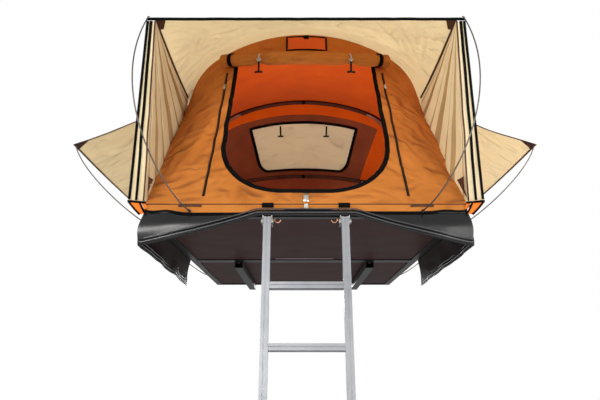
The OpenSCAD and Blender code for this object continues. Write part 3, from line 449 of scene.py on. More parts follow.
def drawn_metal(name, light, dark, rough, stretch=(60, 60, 3), rounded=0.0015):
    made, tree, metal = start_material(name)
    place = node(tree, "TexCoord").outputs["Object"]
    squeezed = node(tree, "Mapping", {"Vector": place, "Scale": stretch}).outputs[0]
    grain = cloud(tree, squeezed, 14.0, 4.0)
    stain = cloud(tree, place, 9.0, 3.0)
    wire(tree, metal, {"Base Color": mixed_colour(tree, linear(dark), linear(light), stain),
                       "Roughness": calculated(tree, "MULTIPLY_ADD", grain, 0.22, rough - 0.1),
                       "Metallic": 1.0})
    edge = node(tree, "Bevel", {"Radius": rounded}, samples=4)
    bumped(tree, metal, grain, 0.12, 0.0006, edge.outputs["Normal"])
    return made


def toothed(name, light, dark):
    made, tree, tape = start_material(name)
    teeth = rib(tree, node(tree, "TexCoord").outputs["UV"], 260, "Y")
    wire(tree, tape, {"Base Color": mixed_colour(tree, linear(dark), linear(light), teeth),
                      "Roughness": ramp(tree, teeth, -0.6, 2.2), "Specular IOR Level": 0.2})
    bumped(tree, tape, teeth, 0.7, 0.0015)
    return made


cover_skin = coated("cover_skin", (20, 20, 22), (10, 10, 11), 0.24, 420, 0.3)
# Paler than the cover: painted highlight along the zip's beads, besides their real gloss.
bead_skin = coated("bead_skin", (46, 46, 49), (30, 30, 32), 0.22, 420, 0.7)
cover_inside = coated("cover_inside", (44, 31, 30), (28, 20, 20), 0.5, 420, 0.05)
board_film = coated("board_film", (70, 47, 45), (50, 33, 32), 0.5, 160, 0.02)
frame_black = coated("frame_black", (26, 24, 25), (15, 14, 15), 0.4, 240, 0.15)
rail_black = coated("rail_black", (40, 38, 40), (28, 27, 28), 0.45, 240, 0.15)
pole_skin = coated("pole_skin", (36, 36, 38), (22, 22, 24), 0.4, 300)
toggle_skin = coated("toggle_skin", (16, 16, 17), (9, 9, 10), 0.4, 300, 0.2)
foot_rubber = coated("foot_rubber", (38, 38, 40), (24, 24, 26), 0.75, 500)
ladder_metal = drawn_metal("ladder_metal", (160, 162, 166), (124, 126, 130), 0.4)
bow_metal = drawn_metal("bow_metal", (190, 192, 196), (150, 152, 156), 0.34, (3, 50, 50))
strip_metal = drawn_metal("strip_metal", (150, 136, 132), (112, 100, 98), 0.45, (4, 50, 50))
pin_steel = drawn_metal("pin_steel", (176, 174, 170), (138, 136, 132), 0.3, (30, 30, 30), 0.0008)
rod_steel = drawn_metal("rod_steel", (104, 100, 96), (72, 68, 65), 0.38, (40, 40, 6), 0.0005)
hook_copper = drawn_metal("hook_copper", (222, 168, 136), (184, 126, 98), 0.35, (30, 30, 30), 0.001)
slider_metal = drawn_metal("slider_metal", (205, 206, 208), (168, 168, 172), 0.28, (30, 30, 30), 0.0006)
zip_teeth = toothed("zip_teeth", (30, 30, 32), (8, 8, 9))
print("materials", len(bpy.data.materials))

# %% [markdown]
# ## Finishes on the rigid parts
# These parts keep their CAD shape. Only their material changes, and the record's slot for each stays as
# it was.

# %% Dress the rigid parts
rigid_finish = {
    board_film: ["rear_board", "front_board"],
    frame_black: ["rear_edge_frame", "front_edge_frame"],
    rail_black: ["mount_rails"],
    strip_metal: ["underside_strip"],
    pin_steel: ["rail_screws", "hinge_pins", "rear_bow_pins", "front_bow_pins", "ladder_pins",
                "rear_hinge_plates", "front_hinge_plates", "ladder_brackets"],
    bow_metal: ["rear_bow", "low_rear_bow", "front_bow"],
    pole_skin: ["front_sockets", "side_sockets_front", "side_sockets_rear", "slide_guides"],
    hook_copper: ["ladder_hooks"],
    ladder_metal: ["upper_stiles", "upper_rungs", "lower_stiles", "lower_rungs"],
    foot_rubber: ["ladder_feet"],
}
for finish, names in rigid_finish.items():
    for name in names:
        part = frame["nodes"][name]
        part.data.materials.clear()
        part.data.materials.append(finish)
print("dressed", sum(len(names) for names in rigid_finish.values()), "rigid parts")

# %% [markdown]
# ## Measures
# The cloth is cut to the base and the bows, so their sizes come first, in metres. Columns of cloth are
# counted from 0 at the left foot of a bow to 28 at its right foot, with the base's corners at 5 and 23.
# Four small functions mix two values, divide a range and keep a share between 0 and 1.

# %% Measures
half_wide, front_y, fold_y = 0.7, -1.893, -0.631
seam_y = {"front": -0.6312, "rear": -0.6308}
hem_x, hem_top, hem_low = 0.7003, 0.098, 0.072
skin = 0.0195
left_corner, middle, right_corner, last_k = 5, 14, 23, 28
both_sides = ((-1, "left"), (1, "right"))
both_halves = (("front", "front_base"), ("rear", "rear_base"))
upward, downward, forward = Vector((0, 0, 1)), Vector((0, 0, -1)), Vector((0, -1, 0))
bow_shoulder, bow_crown, bow_reach = 0.355, 0.946, 1.202
# Half width, angle in degrees, pivot's y and z, and the y where the canvas leaves the bow's foot.
bows = {
    "front_bow": (0.660, 119, -0.676, 0.184, -0.676),
    "rear_bow": (0.642, 66, -0.631, 0.214, -0.611),
    "low_rear_bow": (0.642, 36, -0.586, 0.184, -0.576),
}


def mix(a, b, t):
    return a + (b - a) * t


def frange(a, b, n):
    return [mix(a, b, i / n) for i in range(n + 1)]


def shares(n):
    return frange(0, 1, n)


def clamped(t):
    return min(1, max(0, t))


print("columns from 0 to", last_k, "on", len(bows), "bows")

# %% [markdown]
# ## The lines that the canvas is cut to
# The canvas is stretched over three bows. Each bow has straight legs, a shoulder bend and a wide crown,
# so one function gives a point on any of them at a column k. A second line, along the edge of the base,
# says where the canvas is held at the bottom. Every wall is a straight mix of two lines, because
# stretched cloth takes the shortest way between what holds it.

# %% Bow lines
def bow_line(k, bow, grow=0.0):
    """A point of a bow's line, grow metres outside the tube's middle."""
    half, degrees, pivot_y, pivot_z, foot_y = bows[bow]
    side = -1 if k < middle else 1
    if k < 1 or k > last_k - 1:
        foot = Vector((side * hem_x, foot_y, hem_top + 0.008))
        return mix(foot, bow_line(1 if k < 1 else last_k - 1, bow, grow), min(k, last_k - k))
    shoulder, crown, reach, half = (size + grow for size in (bow_shoulder, bow_crown, bow_reach, half))
    turn = math.acos((half - shoulder) / (crown - shoulder))
    leg = reach - crown + (crown - shoulder) * math.sin(turn)
    i = min(k, last_k - k) - 1
    if i <= 3:
        x, r = half, mix(0.05, leg, i / 3)
    elif i <= 7:
        t = turn * (i - 3) / 4
        x, r = half - shoulder + shoulder * math.cos(t), leg + shoulder * math.sin(t)
    else:
        t = mix(turn, math.pi - turn, (i - 7) / 12)
        x, r = crown * math.cos(t), reach - crown + crown * math.sin(t)
    angle = math.radians(degrees)
    return Vector((side * x, pivot_y + r * math.cos(angle), pivot_z + r * math.sin(angle)))


def cloth_over(bow, out=0.0):
    """The line of a cloth that lies over a bow."""
    return lambda k: bow_line(k, bow, skin + out)


def edge_line(k, foot_y, end_y, z):
    side, m = (-1, k) if k < middle else (1, last_k - k)
    if m <= left_corner:
        return Vector((side * hem_x, mix(foot_y, end_y, m / left_corner), z))
    return Vector((mix(-hem_x, hem_x, (k - left_corner) / (right_corner - left_corner)), end_y, z))


def front_edge(k, z=hem_top):
    return edge_line(k, -0.700, -1.8933, z)


def rear_edge(k, z=hem_top):
    return edge_line(k, -0.552, 0.6313, z)


def cut_at(a, b, y):
    """The point where the straight line from a to b passes y."""
    return mix(a, b, (y - a.y) / (b.y - a.y))


front_line, rear_line, low_line = (cloth_over(bow) for bow in bows)
print("front arch top", [round(v, 3) for v in front_line(middle)])

# %% [markdown]
# ## Walls
# A place on a wall is a pair: the column k, and the share s of the way from its lower line to its upper
# line, or for the rear wall from the rear bow to the low bow. What lies on a wall, such as a zip, needs
# the direction straight out of it. That comes from two short steps on the wall, so it holds for any wall.

# %% Walls
def front_wall(k, s):
    return mix(front_edge(k), front_line(k), s)


def rear_wall(k, s):
    return mix(rear_line(k), low_line(k), s)


def outward(wall, k, s):
    h = 0.02
    along = wall(k + h, s) - wall(k - h, s)
    up = wall(k, s + h) - wall(k, s - h)
    away = along.cross(up).normalized()
    return -away if (away.y < 0) == (wall is rear_wall) else away


def off_wall(wall, k, s, out):
    """A point out metres off a wall."""
    return wall(k, s) + outward(wall, k, s) * out


def on_front(out):
    return lambda k, s: off_wall(front_wall, k, s, out)


def between(a, b, t):
    return mix(a[0], b[0], t), mix(a[1], b[1], t)


print("door sill", [round(v, 3) for v in front_wall(middle, 0)])

# %% [markdown]
# ## How a sheet is sewn here
# A sheet starts as one or more grids of points. The grids are stitched where their edges meet, the cloth
# gets its flat coordinates for the weave, and then a real thickness, with its own finish on the inside.
# The cloth's area is measured before it is thickened, because that is the area that was cut from the
# roll.

# %% Grids and sheets
def grid_of(point, across, down):
    return [[point(a, b) for a in across] for b in down]


def start_mesh():
    bm = bmesh.new()
    return bm, bm.loops.layers.uv.new("flat")


def link_mesh(name, bm, finishes):
    mesh = bpy.data.meshes.new(name)
    bm.to_mesh(mesh)
    bm.free()
    for finish in finishes:
        mesh.materials.append(finish)
    mesh.polygons.foreach_set("use_smooth", [True] * len(mesh.polygons))
    obj = bpy.data.objects.new(name, mesh)
    scene.collection.objects.link(obj)
    return obj


def lengths_along(points):
    lengths = [0.0]
    for a, b in zip(points, points[1:]):
        lengths.append(lengths[-1] + (b - a).length)
    return lengths


def lay_faces(bm, flat, verts, across, down, finish_index=0):
    """Faces between rows of vertices. Their flat coordinates are lengths of cloth."""
    rows, columns = len(verts), len(verts[0])
    for j in range(len(down) - 1):
        for k in range(len(across) - 1):
            around = [(j, k), (j, k + 1), (j + 1, k + 1), (j + 1, k)]
            face = bm.faces.new([verts[a % rows][b % columns] for a, b in around])
            face.material_index = finish_index
            for loop, (a, b) in zip(face.loops, around):
                loop[flat].uv = (across[b], down[a])


def lay_grid(bm, flat, grid, finish_index=0):
    across = lengths_along(grid[len(grid) // 2])
    down = lengths_along([row[len(row) // 2] for row in grid])
    verts = [[bm.verts.new(p) for p in row] for row in grid]
    lay_faces(bm, flat, verts, across, down, finish_index)


def sewn(name, grids, finish, inside=None, thick=0.0016, away_from=(0, -0.6, 0.4), shaded=(), lining=None):
    """A cloth of these grids. Its outer side faces away from a point inside the tent. The shaded grids have
    another, darker lining, which is painted shade."""
    bm, flat = start_mesh()
    for n, grid in enumerate(grids):
        lay_grid(bm, flat, grid, 2 if n in shaded else 0)
    bmesh.ops.remove_doubles(bm, verts=bm.verts, dist=0.0005)
    bmesh.ops.recalc_face_normals(bm, faces=bm.faces)
    centre = Vector(away_from)
    lean = sum(f.normal.dot(f.calc_center_median() - centre) * f.calc_area() for f in bm.faces)
    if lean < 0:
        bmesh.ops.reverse_faces(bm, faces=bm.faces)
    area = sum(f.calc_area() for f in bm.faces)
    obj = link_mesh(name, bm, [finish, inside or finish] + ([finish, lining] if shaded else []))
    body = obj.modifiers.new("thickness", "SOLIDIFY")
    body.thickness = thick
    body.offset = 0
    body.material_offset = 1
    graph = bpy.context.evaluated_depsgraph_get()
    obj.data = bpy.data.meshes.new_from_object(obj.evaluated_get(graph))
    obj.modifiers.clear()
    obj.data.name = name
    obj.data.set_sharp_from_angle(angle=math.radians(80))
    return obj, area


print("sheets can be sewn")

# %% [markdown]
# ## Bands and ropes
# Tapes, bindings, cords and rods are all one profile carried along a path, so one sweep makes them. A
# curve object with a bevel would do it too, but the sweep also gives the flat coordinates for the weave.
# Small pieces that belong together are then joined into one.

# %% Bands and ropes
def swept(name, path, normals, profile, finish, closed=False):
    """A band or rope along a path. Profile points are (aside, outward) in metres. The normals say which way
    is outward, one for each point or one for all."""
    bm, flat = start_mesh()
    if isinstance(normals, Vector):
        normals = [normals] * len(path)
    rings, along = [], [0.0]
    for i, p in enumerate(path):
        before = path[i - 1] if closed or i else p
        after = path[(i + 1) % len(path)] if closed or i < len(path) - 1 else p
        t = (after - before).normalized()
        up = (normals[i] - t * normals[i].dot(t)).normalized()
        rings.append([bm.verts.new(p + t.cross(up) * a + up * b) for a, b in profile])
        along.append(along[-1] + (after - p).length)
    girth = lengths_along([Vector(p) for p in profile + profile[:1]])
    lay_faces(bm, flat, rings, girth, along if closed else along[:-1])
    if not closed:
        bm.faces.new(rings[0])
        bm.faces.new(list(reversed(rings[-1])))
    bmesh.ops.recalc_face_normals(bm, faces=bm.faces)
    return link_mesh(name, bm, [finish])


def band_profile(width, thick):
    """A webbing's section: flat, with soft edges."""
    w, t = width / 2, thick / 2
    e = min(t, w) * 0.6
    return [(-w, -t + e), (-w + e, -t), (w - e, -t), (w, -t + e),
            (w, t - e), (w - e, t), (-w + e, t), (-w, t - e)]


def round_profile(radius, sides=12):
    turns = [math.tau * q / sides for q in range(sides)]
    return [(radius * math.cos(t), radius * math.sin(t)) for t in turns]


def taped(name, wall, places, cloth, profile, finish, closed=False):
    """A band along places on a wall. The cloth gives the point at each place."""
    normals = [outward(wall, k, s) for k, s in places]
    return swept(name, [cloth(k, s) for k, s in places], normals, profile, finish, closed)


def joined(name, parts):
    """Several meshes as one piece, each keeping its finish."""
    bm = bmesh.new()
    finishes = []
    for part in parts:
        start = len(bm.faces)
        bm.from_mesh(part.data)
        bm.faces.ensure_lookup_table()
        for face in bm.faces[start:]:
            finish = part.data.materials[face.material_index]
            if finish not in finishes:
                finishes.append(finish)
            face.material_index = finishes.index(finish)
        bpy.data.objects.remove(part)
    return link_mesh(name, bm, finishes)


print("bands can be swept")

# %% [markdown]
# ## Fitting a soft piece
# A soft piece takes the place of its CAD solid, where there is one, rides on a body of the frame, and goes
# flat as the base folds. A sheet also says what it was cut from and what holds it. The flat size is the
# sewn area, with a little for hems, on a roll of a set width. Two kinds of uneven shape, a ripple and a fan
# of folds, come back in most sheets.

# %% Fitting and folds
hem_allowance = 1.02


def fits(obj, body, slot, *nodes, keep=0.07, floor_at=0.09):
    if nodes:
        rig.replaces(obj, *nodes)
    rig.ride(obj, body)
    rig.slot(obj, slot)
    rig.squash(obj, "base_fold", axis=(0, 0, 1), anchor=(0, 0, floor_at), keep=keep)
    print(obj.name, len(obj.data.polygons), "faces")


def sheet(name, grids, finish, width, held, rests_on, place, folding=None, **cloth):
    """A sewn sheet from a roll of this width. Its place is a body, a slot and the CAD solid it replaces."""
    obj, area = sewn(name, grids, finish, **cloth)
    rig.sheet(obj, flat=(width, area / width * hem_allowance), held=held, rests_on=rests_on, area=area)
    fits(obj, *place, **(folding or {}))


def ripple(p, size, scale, seed=0.0):
    return size * noise.noise(Vector(p) * scale + Vector((seed, 1.7 * seed, 0.3 * seed)))


def fan_fold(p, corner, size, count, seed):
    """Folds that fan out from a corner where the cloth is pulled."""
    pull = Vector(p) - Vector(corner)
    reach = pull.length
    angle = math.atan2(math.hypot(pull.y, pull.z), abs(pull.x))
    fold = noise.noise(Vector((count * angle, 1.6 * reach, seed)))
    return size * min(1, reach / 0.3) * (0.55 - 1.9 * abs(fold))


print("hem allowance", hem_allowance)

# %% [markdown]
# ## Outlines of the door and the window
# The door is a U with a slightly bowed top, and the window a tapered panel with round lower corners. A
# plain grid would cut them in steps. So each outline is a rule that says whether a place is inside, and a
# search along straight lines from the middle finds the outline itself, one point for each point of the
# border.

# %% Outlines
# Widths are in columns from the middle, and heights in shares of the wall.
door_half, door_flat, door_sill, door_bend, bend_height, door_head = 4.95, 1.2, 0.06, 0.34, 0.28, 0.81
window_top, window_bend, round_height, window_foot, window_round = 0.27, 0.75, 0.16, 0.91, 0.8


def wall_height(k):
    return front_line(k).z - hem_top


def level(k, s):
    """The share of the wall at column k that is as high as share s in the middle."""
    return s * wall_height(middle) / wall_height(k)


def bowed(k, s):
    """A level line that rises a little toward the sides."""
    return level(k, s + 0.037 * ((k - middle) / 6) ** 2)


def inside_door(k, s):
    a = abs(k - middle)
    half = door_half - 0.4 * max(0, s - 0.35) / 0.5
    if a > half or not door_sill < s < bowed(k, door_head):
        return False
    if s < door_bend:
        across, down = max(0, a - door_flat) / (half - door_flat), (door_bend - s) / bend_height
        return across ** 2.2 + down ** 2.2 < 1
    return True


def inside_window(k, s):
    a = abs(k - middle)
    half = mix(5.1, 4.25, (s - 0.26) / 0.64)
    if a > half or not window_top < s < window_foot:
        return False
    if s > window_bend and a > half - window_round:
        return ((a - half + window_round) / window_round) ** 2 + ((s - window_bend) / round_height) ** 2 < 1
    return True


def outline_point(inside, centre, toward):
    low, high = 0.0, 1.0
    for _ in range(30):
        t = (low + high) / 2
        if inside(*between(centre, toward, t)):
            low = t
        else:
            high = t
    return between(centre, toward, low)


def border(k0, k1, s0, s1, nk, ns):
    """Points round a rectangle of the wall, in order."""
    return ([(k, s0) for k in frange(k0, k1, nk)[:-1]] + [(k1, s) for s in frange(s0, s1, ns)[:-1]]
            + [(k, s1) for k in frange(k1, k0, nk)[:-1]] + [(k0, s) for s in frange(s1, s0, ns)[:-1]])


def ring_grid(cloth, inner, outer, steps):
    """Rings of cloth, from one outline out to another."""
    pairs = list(zip(inner + inner[:1], outer + outer[:1]))
    return [[cloth(*between(a, b, t)) for a, b in pairs] for t in shares(steps)]


door_border = border(left_corner, right_corner, 0, 1, 72, 56)
door_centre = (middle, 0.42)
door_ring = [outline_point(inside_door, door_centre, q) for q in door_border]
print("door outline", len(door_ring), "points")

# %% [markdown]
# ## The front canvas
# The front wall leans from the edge of the base up to the front bow. It is rings of cloth between the
# door's outline and the wall's border. The side walls, the roof back to the fold and the hem are plain
# grids that meet those rings. Ripples, folds from the lower corners and slanted crumples keep the cloth
# from looking like sheet metal. The front hem hangs in a wavy line over the top of the travel cover.

# %% Front canvas
all_k = frange(0, last_k, 112)
crumples = ((1, 2.3), (0.7, 5.1), (0.45, 9.7))


def wall_cloth(k, s, out=0.0):
    p = front_wall(k, s)
    side = -1 if p.x < 0 else 1
    corner = (side * half_wide, front_y, hem_top)
    shape = ripple(p, 0.006, 4, 2) + fan_fold(p, corner, 0.011, 6.5, 3 + side)
    slanted = Vector((3.2 * p.x + 2.0 * p.z, 2.6 * p.z - 1.2 * p.x, p.y))
    crumple = sum(share * abs(noise.noise(slanted * scale)) for share, scale in crumples)
    shape -= crumple * (0.006 + 0.006 * clamped(2 * p.x))
    loose = math.sin(math.pi * clamped(s))
    return off_wall(front_wall, k, s, loose * min(shape - 0.002, 0.003) + out)


def hem_drop(k):
    """How far the front hem hangs below the base's edge: more at the left, and least over the ladder."""
    if not left_corner < k < right_corner:
        return 0
    x = front_edge(k).x
    hang = (0.017 if x < 0 else 0.011) * (1 - math.exp(-(x / 0.17) ** 2))
    hang *= 1 - 0.8 * math.exp(-((abs(x) - 0.61) / 0.06) ** 2)
    return (hang - 0.006 * math.exp(-(x / 0.09) ** 2)) * (1 - (abs(x) / hem_x) ** 20)


def hem_cloth(k, t):
    """t from 0 at the hem's lower edge to 1 at its top. Low down it stands off, to pass the cover."""
    p = front_edge(k, mix(hem_low - hem_drop(k), hem_top, t))
    out = 0.0085 * max(0, hem_low + 0.003 - p.z) / 0.018 if left_corner < k < right_corner else 0
    return p + forward * out


def roof_fold(k, half):
    return cut_at(front_line(k), rear_line(k), seam_y[half])


door_rings = ring_grid(wall_cloth, door_ring, door_border, 28)
side_walls = [grid_of(wall_cloth, frange(k0, k1, 20), shares(56))
              for k0, k1 in ((0, left_corner), (right_corner, last_k))]
hem = grid_of(hem_cloth, all_k, shares(6))
front_roof = grid_of(lambda k, t: mix(front_line(k), roof_fold(k, "front"), t), all_k, shares(8))
sheet("front_canvas_sewn", [door_rings, *side_walls, hem, front_roof], canvas_cloth, 2.6, "stretched",
      ["front_bow", "front_edge_frame"], ("front_base", "canvas", "front_canvas"), inside=lining_cloth)

# %% [markdown]
# ## The rear canvas
# The rear half of the canvas runs from the fold over the rear bow, down to the low bow and on to the back
# edge. The window is cut between the two bows in the same way as the door. Seen through the door, this is
# the far wall. It lies in shade, apart from its right end and the roof, which are bright from the daylight.
# The shade is painted: the shaded part has a darker lining. The line between shade and light slants, so the
# wall is divided along it and each part has its own lining.

# %% Rear canvas
strip, sunny_top, sunny_low = 0.17, 21, 19.75
sunny_column = round(sunny_low / last_k * (len(all_k) - 1))
window_centre = (middle, 0.58)


def rear_cloth(k, s):
    loose = math.sin(math.pi * clamped(s))
    return off_wall(rear_wall, k, s, loose * (ripple(rear_wall(k, s), 0.005, 5, 12) - 0.003))


slant = [(mix(sunny_top, sunny_low, t), mix(strip, 1, t)) for t in shares(20)]
window_border = [(k, strip) for k in frange(left_corner, sunny_top, 64)[:-1]] + slant[:-1]
window_border += [(k, 1) for k in frange(sunny_low, left_corner, 59)[:-1]]
window_border += [(left_corner, s) for s in frange(1, strip, 20)[:-1]]
window_ring = [outline_point(inside_window, window_centre, q) for q in window_border]
window_rings = ring_grid(rear_cloth, window_ring, window_border, 8)
wall_rows = frange(strip, 1, 20)
left_wall = grid_of(rear_cloth, frange(0, left_corner, 20), wall_rows)
sunny_wall = grid_of(rear_cloth, frange(sunny_top, last_k, 28), wall_rows)
wedge = [[rear_cloth(k, s) for k in frange(k0, sunny_top, 5)] for k0, s in slant]
upper = grid_of(rear_cloth, all_k, frange(0, strip, 5))
rear_roof = grid_of(lambda k, t: mix(roof_fold(k, "rear"), rear_line(k), t), all_k, shares(6))
tail = grid_of(lambda k, t: mix(low_line(k), rear_edge(k), t), all_k, shares(12))
shady_tail = [row[:sunny_column + 1] for row in tail]
sunny_tail = [row[sunny_column:] for row in tail]
hem = grid_of(rear_edge, all_k, frange(hem_low, hem_top, 2))
# The grids in shade get the darker lining, which is painted shade. The grids in sun keep the bright lining.
in_shade = [window_rings, left_wall, shady_tail, hem]
in_sun = [upper, rear_roof, sunny_wall, wedge, sunny_tail]
sheet("rear_canvas_sewn", in_shade + in_sun, canvas_cloth, 2.6, "stretched",
      ["rear_bow", "low_rear_bow", "rear_edge_frame"], ("rear_base", "canvas", "rear_canvas"),
      inside=lining_cloth, shaded=range(len(in_shade)), lining=shade_cloth)

# %% [markdown]
# ## Sleeves on the bows
# Inside, the two rear bows run in dark sleeves, with a seam along them and a black joint in the middle.
# The sleeves go with the bows, so they are swept along the same lines as the tubes.

# %% Bow sleeves
sleeve_radius = 0.0148
for word in ("rear_bow", "low_rear_bow"):
    angle = math.radians(bows[word][1])
    ahead = Vector((0, -math.sin(angle), math.cos(angle)))
    line = [bow_line(k, word) for k in frange(3.4, 24.6, 120)]
    tube = swept("sleeve", line, ahead, round_profile(sleeve_radius, 18), sleeve_cloth)
    seam_line = [p + ahead * (sleeve_radius - 0.0009) for p in line]
    seam = swept("seam", seam_line, ahead, band_profile(0.006, 0.002), web_black)
    joint_line = [bow_line(k, word) for k in frange(middle - 0.16, middle + 0.16, 4)]
    joint = swept("joint", joint_line, ahead, round_profile(sleeve_radius + 0.00015, 18), web_black)
    bow_sleeve = joined(f"{word}_sleeve", [tube, seam, joint])
    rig.ride(bow_sleeve, word)
    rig.slot(bow_sleeve, "canvas")
    print(bow_sleeve.name, len(bow_sleeve.data.polygons), "faces")

# %% [markdown]
# ## Window panel, bindings and vent
# The window is closed by a pale mesh with a black bound edge and two pegs near its top. The door has
# the same binding: webbing folded over the cut edge, so it shows on both sides. A band swept along the
# outline gives just that. Above the door is a small orange vent in a black frame.

# %% Window and door binding
centres = [window_centre] * len(window_ring)
sheet("window_mesh", [ring_grid(rear_cloth, centres, window_ring, 8)], mesh_cloth, 0.85, "stretched",
      ["rear_canvas_sewn"], ("rear_base", "mesh", "rear_window"))

window_parts = [taped("window_edge", rear_wall, window_ring, rear_cloth, band_profile(0.024, 0.006),
                      web_black, closed=True)]
peg_profile = round_profile(0.006, 8)
for k in (middle - 2.2, middle + 2.2):
    peg = [off_wall(rear_wall, k, s, -0.012) for s in (0.3, 0.36, 0.43)]
    window_parts.append(swept("window_peg", peg, Vector((1, 0, 0)), peg_profile, web_black))
    bar = [peg[-1] + Vector((a, 0, 0)) for a in (-0.022, 0.0, 0.022)]
    window_parts.append(swept("window_peg_bar", bar, upward, peg_profile, web_black))
fits(joined("window_binding", window_parts), "rear_base", "trim_black")

door_binding = taped("door_binding_sewn", front_wall, door_ring, wall_cloth, band_profile(0.023, 0.008),
                     web_black, closed=True)
fits(door_binding, "front_base", "trim_black", "door_binding")

# %% [markdown]
# The vent is a flap of cloth a few millimetres off the wall. Its frame is swept round the same border,
# and a short black tab lies over its upper edge.

# %% Vent
vent_left, vent_right, vent_low, vent_high = 12.85, 15.4, 0.885, 0.982
vent_ring = border(vent_left, vent_right, vent_low, vent_high, 12, 6)
vent_flap = grid_of(on_front(0.004), frange(vent_left, vent_right, 12), frange(vent_low, vent_high, 6))
vent_cloth = sewn("vent_flap", [vent_flap], vent_orange)[0]
vent_frame = taped("vent_frame", front_wall, vent_ring, on_front(0.0045), band_profile(0.011, 0.005),
                   web_black, closed=True)
tab_places = [(14.1, s) for s in (0.963, 0.973, 0.987)]
vent_tab = taped("vent_tab", front_wall, tab_places, on_front(0.008), band_profile(0.03, 0.003), web_black)
vent = joined("vent_panel_sewn", [vent_cloth, vent_frame, vent_tab])
fits(vent, "front_base", "orange_panel", "vent_panel")

# %% [markdown]
# ## The rolled door
# The door flap is rolled up and tied above the opening. A roll of cloth isn't a tube: it is pinched where
# it is tied, swells between the ties, shows its outer layer's edge as a long lip, and a spiral at its
# ends. So the roll is a skin of rings whose radius follows a spiral, drawn in and creased at each tie.

# %% Rolled door
end_ties, cord_ties = (9.35, 18.7), (11.2, 16.8)
roll_left, roll_right = 8.74, 19.3
roll_level, roll_stand, roll_size = 0.785, 0.0415, 0.0335
lip_turn = 2.6
# The rings of a rolled end, as shares of the radius, each with its bulge in metres.
end_rings = ((1, 0), (0.86, 0.004), (0.8, -0.003), (0.62, 0.003),
             (0.56, -0.003), (0.36, 0.003), (0.3, -0.003), (0.06, 0.002))


def roll_centre(k):
    return off_wall(front_wall, k, bowed(k, roll_level), roll_stand)


def roll_frame(k):
    along = (roll_centre(min(k + 0.2, 27)) - roll_centre(k - 0.2)).normalized()
    out = outward(front_wall, k, bowed(k, roll_level))
    out = (out - along * out.dot(along)).normalized()
    return along, out, along.cross(out)


def roll_radius(k, turn):
    pinch = 1 - sum(0.52 * math.exp(-(abs(k - t) / 0.34) ** 1.4) for t in cord_ties)
    pinch -= sum(0.14 * math.exp(-((k - t) / 0.2) ** 2) for t in end_ties)
    twist = sum(math.exp(-(abs(k - t) / 0.9) ** 1.5) for t in cord_ties)
    lip = 0.0035 * (turn / math.tau)
    p = Vector((k * 0.9, math.cos(turn), math.sin(turn)))
    crease = 0.0062 * twist * math.sin(8 * turn + 1.3 * k)
    return (roll_size + lip) * pinch + ripple(p, 0.004, 1.6, 3) + crease


def roll_ring(k):
    along, out, up = roll_frame(k)
    ring = []
    for t in frange(0, math.tau, 42):
        spoke = math.cos(t + lip_turn) * out + math.sin(t + lip_turn) * up
        ring.append(roll_centre(k) + roll_radius(k, t) * spoke)
    return ring


def rolled_flap():
    bm, flat = start_mesh()
    columns = frange(roll_left, roll_right, 150)
    grid = [roll_ring(k) for k in columns]
    lay_grid(bm, flat, grid)
    for end, way in ((0, -1), (-1, 1)):
        hub = roll_centre(columns[end])
        outside = roll_frame(columns[end])[0] * way
        cap = [[hub + (p - hub) * share + outside * bulge for p in grid[end]] for share, bulge in end_rings]
        lay_grid(bm, flat, cap)
    bmesh.ops.remove_doubles(bm, verts=bm.verts, dist=0.0004)
    bmesh.ops.holes_fill(bm, edges=[e for e in bm.edges if e.is_boundary], sides=60)
    bmesh.ops.recalc_face_normals(bm, faces=bm.faces)
    return link_mesh("door_roll_sewn", bm, [canvas_cloth])


door_roll = rolled_flap()
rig.padded(door_roll, fill=0.55)
fits(door_roll, "front_base", "canvas", "door_roll")

# %% [markdown]
# ## Ties and toggles
# Black webbing holds the roll at its ends. Between them two pale cords pull it in, each with a black
# toggle that hangs below. Both kinds are swept most of the way round the roll.

# %% Ties and toggles
def roll_tie(name, k, profile, finish, stand):
    along, out, up = roll_frame(k)
    normals = [math.cos(t) * out - math.sin(t) * up for t in frange(-1.9, 4.1, 36)]
    return swept(name, [roll_centre(k) + n * stand for n in normals], normals, profile, finish)


ties = [roll_tie("end_tie", k, band_profile(0.024, 0.003), web_black, 0.0372) for k in end_ties]
for k in cord_ties:
    ties.append(roll_tie("cord_tie", k, round_profile(0.0034, 8), cord_pale, 0.0235))
    along, out, up = roll_frame(k)
    top = roll_centre(k) + out * 0.022 + downward * 0.036
    stem = [top, top + downward * 0.02 + out * 0.003, top + downward * 0.06 + out * 0.003]
    ties.append(swept("toggle_stem", stem, out, round_profile(0.0055, 10), toggle_skin))
    low = top + downward * 0.064 + out * 0.003
    bar = [low + along * a + downward * abs(a) * 0.1 for a in (-0.021, -0.018, 0.0, 0.018, 0.021)]
    ties.append(swept("toggle_bar", bar, out, round_profile(0.006, 10), toggle_skin))
    knot = [top + out * 0.006 + along * a + downward * (0.004 - abs(a)) for a in (-0.012, 0.0, 0.012)]
    ties.append(swept("toggle_knot", knot, out, round_profile(0.004, 8), cord_pale))
fits(joined("door_ties", ties), "front_base", "trim_black", "door_straps")

# %% [markdown]
# ## Zips
# The door's zips stay on the wall on both sides: a flat tape with a row of teeth, made as a band with a
# raised ridge whose finish is ribbed across. Each slider is a shoe, a bridge over it and a pull tab, and
# it sits where the CAD model has it, because it has to run down the zip.

